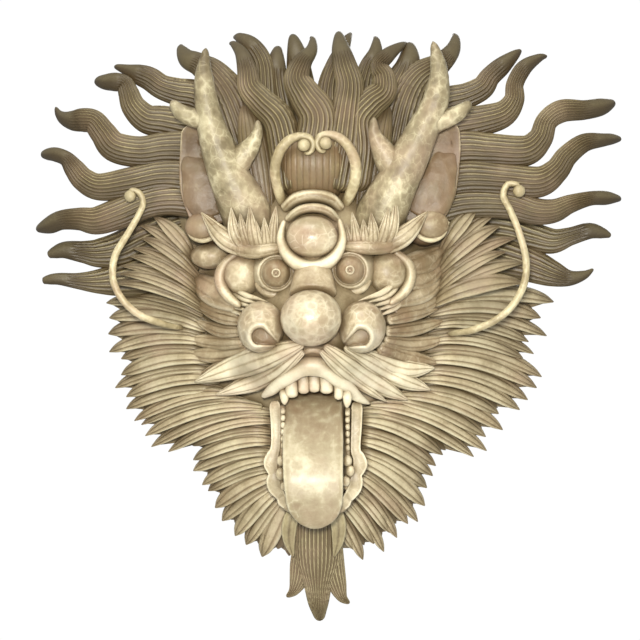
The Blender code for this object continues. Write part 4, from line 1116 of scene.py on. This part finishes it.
# %% Ears
EAR_SHELLS = [
    [(214, 226, 92, 38), (203, 190, 92, 42), (197, 165, 92, 34), (194, 146, 92, 26), (193, 124, 90, 22)],
    [(414, 226, 92, 40), (430, 194, 92, 46), (440, 165, 92, 38), (446, 146, 92, 28), (447, 120, 90, 22)],
]
INNER_EARS = [
    [(210, 218, 93, 24), (203, 198, 94, 36), (197, 176, 94, 30), (194, 163, 93, 25), (194, 156, 92, 18)],
    [(420, 218, 93, 26), (431, 198, 94, 40), (440, 176, 94, 33), (444, 160, 93, 25), (445, 151, 92, 18)],
]
EAR_LOBES = [(202, 227, 92, 17, 15, 9), (431, 225, 92, 18, 16, 9)]
EAR_ROOTS = [(209, 226, 68, 17, 20, 26), (424, 226, 68, 19, 20, 26)]
LOBE_RIMS = [
    [(186, 224, 92, 2), (191, 236, 94, 4), (202, 240.5, 96, 5), (213, 237, 98, 4), (218, 228, 98, 2)],
    [(449, 221, 92, 2), (443, 235, 94, 4), (431, 240, 96, 5), (419, 236, 98, 4), (414, 226, 98, 2)],
]
LEFT_EAR_DUSK = 0.44
RIGHT_EAR_DUSK = 0.2

ears = new_carving()
for rows in EAR_SHELLS:
    sweep(ears, rows, around=54, stations=48, flatness=0.4, dish=0.8, tip_round=0.12, dusk=0.15,
          ridge=lambda t, u: 0.3 + 0.7 * smooth_step(np.abs(u), 0.78, 0.97) * smooth_step(t, 0.5, 0.8))
for rows in INNER_EARS:
    sweep(ears, rows, around=40, stations=40, flatness=0.2, tip_round=0.1, cells=(11, 1.0, 41),
          dusk=LEFT_EAR_DUSK if rows[0][0] < AXIS_X else RIGHT_EAR_DUSK,
          ridge=lambda t, u: 0.3 + 0.6 * smooth_step(-u * np.sign(rows[1][0] - AXIS_X), 0.8, 0.95),
          blush=lambda t, u: 0.75 - 0.4 * smooth_step(np.abs(u), 0.8, 0.95))
for place in EAR_LOBES:
    ball(ears, place, ridge=0.55, blush=0.1)
for place in EAR_ROOTS:
    ball(ears, place, ridge=0.2)
for rows in LOBE_RIMS:
    sweep(ears, rows, around=18, ridge=1.0)
finish_piece("ears", ears, EAR_WOOD)

# %% [markdown]
# ## Nose and nostrils
# The nose is a ball worked with a flat gouge, and shows shallow facets under a shine. Each nostril is a
# wing with a drop-shaped sinking that runs to a point under the nose. The sinking is not cut with another
# body: the wing has a dense front, and its vertices inside the drop are pressed down, with a lip round it.

# %% Nose
NOSE = (311, 318, 140, 31, 28.4, 30.8)
NOSTRIL_WINGS = [(261, 327, 124, 24, 26, 23), (362, 327, 124, 24, 26, 23)]
# Each drop: its wide end, its pointed end and their radii
NOSTRIL_DROPS = [((260, 336.5), (279, 344.5), 8.5, 0.8), ((361, 337.5), (342, 346), 8.5, 0.8)]
DROP_DEPTH = 7
LIP_HEIGHT = 3.4
LIP_PLACE = 1.42            # where the lip's top runs, in radii of the drop
LIP_SPREAD = 0.34


def drop_reach(x, y, start, end, start_radius, end_radius):
    """Distance from the drop's line, as a share of the drop's radius there."""
    dx, dy = end[0] - start[0], end[1] - start[1]
    along = np.clip(((x - start[0]) * dx + (y - start[1]) * dy) / (dx * dx + dy * dy), 0, 1)
    apart = np.hypot(x - start[0] - along * dx, y - start[1] - along * dy)
    return apart / (start_radius + (end_radius - start_radius) * along), along


def press_drop(wing, drop):
    """How a wing's ball is reshaped: the drop sunk into its front with a lip round it."""
    x, y, depth, reach_x, reach_y, reach_depth = wing

    def reshape(unit):
        across, down = x + unit[:, 0] * reach_x, y - unit[:, 1] * reach_y
        reach, along = drop_reach(across, down, *drop)
        lip = LIP_HEIGHT * np.exp(-((reach - LIP_PLACE) / LIP_SPREAD) ** 2) * (1 - 0.5 * along)
        sink = DROP_DEPTH * (1 - smooth_step(reach, 0.86, 1.06)) * (1 - 0.5 * along)
        pressed = np.where(unit[:, 2] > 0.15, lip - sink, 0)
        points = at(across, down, depth + unit[:, 2] * reach_depth + pressed)
        outward = np.stack([unit[:, 0], -unit[:, 2], unit[:, 1]], axis=-1)
        dented, facets = hammered(points, outward, 8 * SQUARE, 0.5 * SQUARE, 9)
        outside = smooth_step(reach, 1.5, 1.9)
        # Inside the drop the wing is painted darker and less rubbed: wash kept in the cut, and painted shade
        # in the hollow.
        paint = {"ridge": np.where(reach < 1, 0.25, 0.45 + 0.5 * lip / LIP_HEIGHT + facets * outside),
                 "dusk": np.where(reach < 0.95, 0.15, 0)}
        return points + (dented - points) * outside[:, None], paint
    return reshape


nose = new_carving()
# The nose is painted paler than the other bosses: rubbed wash, and partly a painted highlight.
ball(nose, NOSE, segments=96, cells=(8, 0.5, 5), ridge=0.6, blush=0.08)
for wing, drop in zip(NOSTRIL_WINGS, NOSTRIL_DROPS):
    ball(nose, wing, segments=120, reshape=press_drop(wing, drop))
finish_piece("nose_and_nostrils", nose, LACQUERED_WOOD)

# %% [markdown]
# ## The mouth
# The upper lip is an arch with a rounded front, the jaw's lips are scalloped bands with a raised outer rim,
# the teeth are small rounded blocks and beads, and the tongue is a broad tablet with a thin raised edge. It
# hangs out over the jaw. Its root is reddish and painted dark as the shade under the teeth, its middle
# rubbed almost bare. The beard hangs from under it: one wide strand with a hooked prong at each side, and
# a leaf at each side of its root.

# %% Lips, teeth and tongue
UPPER_LIP = [(262, 397, 84, 4), (271, 390, 93, 11), (281, 381.5, 102, 15), (292, 372.5, 110, 17.5),
             (302, 367, 113, 18.5), (314, 366, 114, 19), (327, 369, 112, 18.5), (338, 378, 105, 17),
             (348, 388, 96, 14.5), (358, 397, 88, 10), (370, 404, 80, 4)]
JAW_LIPS = [
    [(274.5, 400, 84, 11), (276, 424, 90, 10), (275.5, 447, 92, 9), (272.5, 456, 92, 12),
     (270.8, 463, 92, 14), (272.5, 470, 92, 11), (273.8, 474, 92, 10), (273.2, 480, 92, 13),
     (274.7, 487, 91, 13.5), (278.5, 493, 90, 11), (281, 496.5, 88, 9), (284, 501, 86, 12),
     (292, 507.5, 80, 8)],
    [(357, 401, 84, 11), (356.5, 424, 90, 10.5), (355.5, 449, 92, 9.5), (358.5, 457, 92, 12),
     (360, 464, 92, 14), (358.5, 470, 92, 12), (356.8, 474.5, 92, 10), (356, 481, 92, 13),
     (354.5, 488, 91, 13), (350.5, 494.5, 90, 11), (347.5, 498, 88, 9), (344.5, 503, 86, 11),
     (337, 508, 80, 8)],
]
TONGUE = [(313, 394, 62, 50), (313, 408, 82, 56), (313, 440, 97, 57), (313, 470, 106, 56),
          (314, 494, 109, 54), (314.4, 506, 108, 50.5), (314.8, 514, 106, 44), (315, 519.5, 104, 34.5),
          (315, 523, 102, 22), (315, 525.2, 100, 5)]
TONGUE_THICKNESS = 12
# Each tooth: root x and y, crown x and y, width
TEETH = [(284.5, 386, 284.5, 405, 9), (290, 378, 291.5, 398, 12.5), (302.5, 374, 303.5, 394, 11.5),
         (314, 373, 314.3, 392.5, 11.5), (325.5, 374, 326.5, 394, 13), (337, 381, 338.5, 400, 9),
         (344, 387, 347, 408, 9)]
TEETH_DEPTH = 101
FANG_ROOT_SINK = 5          # the root of a fang lies behind the lip
JAW_WALL_THICKNESS = 32      # the jaw's lips and gums stand on walls that reach back to the block
GUMS = [
    [(283, 404, 77, 7), (283, 430, 78, 7), (282, 452, 79, 8), (280.5, 470, 79, 9), (284, 490, 76, 8)],
    [(347.5, 406, 77, 7), (347.5, 430, 78, 7), (347.5, 452, 79, 8), (349, 470, 79, 9), (346, 488, 76, 8)],
]
BEAD_COLUMNS = [(283, 411, 95), (347.5, 413, 95)]
BEAD_PITCH = 7
BEADS_TO_A_COLUMN = 6
BEAD_RADIUS = 2.5
MOLARS = [(281, 461, 4.4), (280.5, 474, 5), (284, 486, 3.6), (347.5, 461, 4.6), (350, 471, 4.6),
          (346, 481, 4.2)]
MOLAR_DEPTH = 97

mouth = new_carving()
sweep(mouth, UPPER_LIP, around=48, stations=72, flatness=0.9, ridge=1.1)
for rows in JAW_LIPS:
    sweep(mouth, rows, around=40, stations=90, flatness=0.8, dish=0.5, boxy=0.8,
          ridge=lambda t, u: 0.4 + 0.5 * smooth_step(np.abs(u), 0.55, 0.9))
    wall = [(x, y, depth - JAW_WALL_THICKNESS / 2, width - 1.5) for x, y, depth, width in rows]
    sweep(mouth, wall, around=24, stations=60, boxy=0.6, thickness=JAW_WALL_THICKNESS, ridge=0.3)
for rows in GUMS:
    sweep(mouth, rows, around=20, stations=40, thickness=JAW_WALL_THICKNESS, ridge=0.35, blush=0.2)
for k, (root_x, root_y, crown_x, crown_y, width) in enumerate(TEETH):
    fang = k in (0, len(TEETH) - 1)
    rows = [(root_x, root_y, TEETH_DEPTH - FANG_ROOT_SINK * fang, width * (0.8 if fang else 1)),
            (crown_x, (root_y + crown_y) / 2, TEETH_DEPTH, width),
            (crown_x, crown_y, TEETH_DEPTH, width * (0.42 if fang else 0.95))]
    sweep(mouth, rows, around=24, stations=24, boxy=0.65, tip_round=0.22, ridge=0.9)
for x, first_y, depth in BEAD_COLUMNS:
    for k in range(BEADS_TO_A_COLUMN):
        place = (x, first_y + BEAD_PITCH * k, depth, BEAD_RADIUS, BEAD_PITCH / 2, BEAD_RADIUS)
        ball(mouth, place, segments=16, ridge=0.6)
for x, y, radius in MOLARS:
    ball(mouth, (x, y, MOLAR_DEPTH, radius, radius * 1.3, radius), segments=20, ridge=0.65)
finish_piece("lips_and_teeth", mouth, FACE_WOOD)

# The tongue's root is painted darker as the shade under the teeth; from a third of the way down it is a
# little darker again.
tongue = new_carving()
sweep(tongue, TONGUE, around=96, stations=110, boxy=0.42, level=True, thickness=TONGUE_THICKNESS, dish=0.18,
      tip_round=0.04, cells=(9, 0.25, 8),
      ridge=lambda t, u: 0.55 - 0.15 * smooth_step(t, 0.65, 0.85) + 0.4 * smooth_step(np.abs(u), 0.86, 0.98),
      blush=lambda t, u: 0.5 - 0.5 * smooth_step(t, 0.12, 0.34),
      dusk=lambda t, u: 0.05 + 0.12 * (1 - smooth_step(t, 0.1, 0.3)) + 0.12 * smooth_step(t, 0.33, 0.5))
finish_piece("tongue", tongue, TONGUE_WOOD)

# %% Beard
BEARD_PITCH = 3.6
BEARD_FRONT_LENGTH = 1.35
BEARD = [
    [(318, 498, 50, 44), (318, 535, 40, 49), (318, 562, 33, 45), (318, 586, 28, 28), (318.5, 604, 23, 20),
     (320, 621, 16, 8)],
    [(306, 540, 36, 22), (302, 562, 32, 23), (299, 579, 28, 19), (294, 590.5, 23, 11), (286.5, 597, 20, 3)],
    [(331, 540, 36, 22), (333, 566, 32, 23), (337, 584, 28, 19), (342, 597, 23, 11), (349.5, 603.5, 20, 3)],
]
BEARD_LEAVES = [
    [(297, 504, 60, 12), (290, 522, 58, 15), (289, 540, 53, 12), (293, 557, 46, 2)],
    [(333, 504, 60, 12), (338, 522, 58, 15), (338, 540, 53, 12), (334, 557, 46, 2)],
]
beard = new_carving()
for rows in BEARD:
    flutes = round(BEARD_FRONT_LENGTH * rows[1][3] / BEARD_PITCH)
    sweep(beard, rows, stations=48, flatness=0.42, flutes=flutes, groove=1.0, tip_round=0.05,
          dusk=lambda t, u: 0.25 * smooth_step(t, 0.6, 1))
for rows in BEARD_LEAVES:
    sweep(beard, rows, bands=2, groove=1.0, flatness=0.6, ridge=lambda t, u: 0.35 + rimmed(t, u))
finish_piece("beard", beard, BEARD_WOOD)

# %% [markdown]
# ## Pieces let into the relief
# The antlers, the whiskers and the forehead curls are carved apart and set in sockets. The antlers are
# worked all over with a flat gouge, which leaves shallow facets with cream crests between them.

# %% Antlers
# Each: the beam and then its tines
ANTLERS = {
    "antler_left": [
        [(255, 240, 82, 46), (244, 208, 96, 47), (230, 178, 104, 39), (219, 150, 109, 33),
         (211, 125, 113, 27), (206, 100, 116, 22), (204, 80, 117, 18), (204, 66, 117, 13),
         (206, 48, 116, 5)],
        [(230, 172, 104, 28), (241, 158, 109, 24), (251, 146, 113, 17), (257, 134, 116, 11),
         (258, 120, 118, 5)],
        [(207, 119, 113, 22), (192, 117, 113, 18), (181, 112, 113, 15), (171, 101, 112, 7)],
    ],
    "antler_right": [
        [(370, 238, 82, 46), (382, 212, 96, 48), (394, 188, 103, 41), (405, 166, 107, 38),
         (416, 144, 111, 33), (427, 121, 114, 28), (435, 103, 116, 25), (438, 87, 117, 22),
         (439, 72, 117, 17), (437, 58, 117, 13), (433, 41, 116, 5)],
        [(397, 174, 105, 30), (386, 156, 109, 25), (378, 142, 113, 17), (374, 131, 116, 11),
         (374, 117, 118, 5)],
        [(432, 122, 113, 24), (449, 117, 113, 18), (461, 111, 113, 14), (471, 102, 112, 7)],
    ],
}
for name, (beam, *tines) in ANTLERS.items():
    antler = new_carving()
    sweep(antler, beam, around=64, stations=110, cells=(7, 0.5, 21), tip_round=0.04,
          dusk=lambda t, u: 0.3 * smooth_step(t, 0.5, 0.95))
    for rows in tines:
        sweep(antler, rows, around=40, stations=48, cells=(7, 0.4, 22), tip_round=0.10,
              dusk=lambda t, u: 0.25 * smooth_step(t, 0.6, 0.95))
    finish_piece(f"{name}_carved", antler, ANTLER_WOOD, [name])

# %% Whiskers and forehead curls
TENDRILS = {
    "whisker_left": [(188, 329, 42, 3), (174, 326.5, 72, 5.5), (157, 322, 86, 7), (138, 314, 92, 7),
                     (122, 299, 94, 7), (113, 279, 94, 7), (115, 256, 94, 7), (127, 235, 95, 6.5),
                     (137, 218, 96, 6), (143, 204, 97, 6), (140, 194, 98, 6), (133, 190.5, 99, 5.5),
                     (129, 193, 99, 5)],
    "whisker_right": [(442, 335, 42, 3), (455, 333, 72, 5.5), (472, 330, 86, 7), (494, 321, 92, 7),
                      (512, 306, 94, 7), (524, 284, 94, 7), (526, 260, 94, 7), (519, 232, 95, 6.5),
                      (510, 210, 96, 6.5), (503.5, 196, 97, 6.5), (507, 185, 98, 6), (515, 184, 99, 5.5),
                      (520, 188, 99, 5)],
    "forehead_curl_left": [(289, 214, 84, 10), (279, 192, 106, 10), (275, 170, 116, 10), (279, 153, 122, 10),
                           (288, 141, 125, 9), (299, 136.5, 127, 8), (309, 138, 128, 7), (313, 145, 128, 6),
                           (310, 152, 128, 5), (304, 153, 127, 4)],
    "forehead_curl_right": [(339, 214, 84, 10), (351, 192, 106, 11), (356, 170, 116, 11), (352, 153, 122, 10),
                            (343, 140.5, 125, 9), (332, 135, 127, 8), (321, 136, 128, 7), (317, 143, 128, 6),
                            (320, 150, 128, 5), (326, 151, 127, 4)],
}
TENDRIL_BALLS = {"whisker_left": (130, 196, 99, 6), "whisker_right": (519, 191, 99, 6.3),
                 "forehead_curl_left": (304, 145, 129, 6.5), "forehead_curl_right": (325.5, 143, 129, 6.5)}
for name, rows in TENDRILS.items():
    tendril = new_carving()
    sweep(tendril, rows, around=28, stations=14 * len(rows), cells=(5, 0.2, 31), ridge=0.55)
    x, y, depth, radius = TENDRIL_BALLS[name]
    ball(tendril, (x, y, depth, radius, radius, radius), segments=28, ridge=0.7)
    finish_piece(f"{name}_carved", tendril, TENDRIL_WOOD, [name])
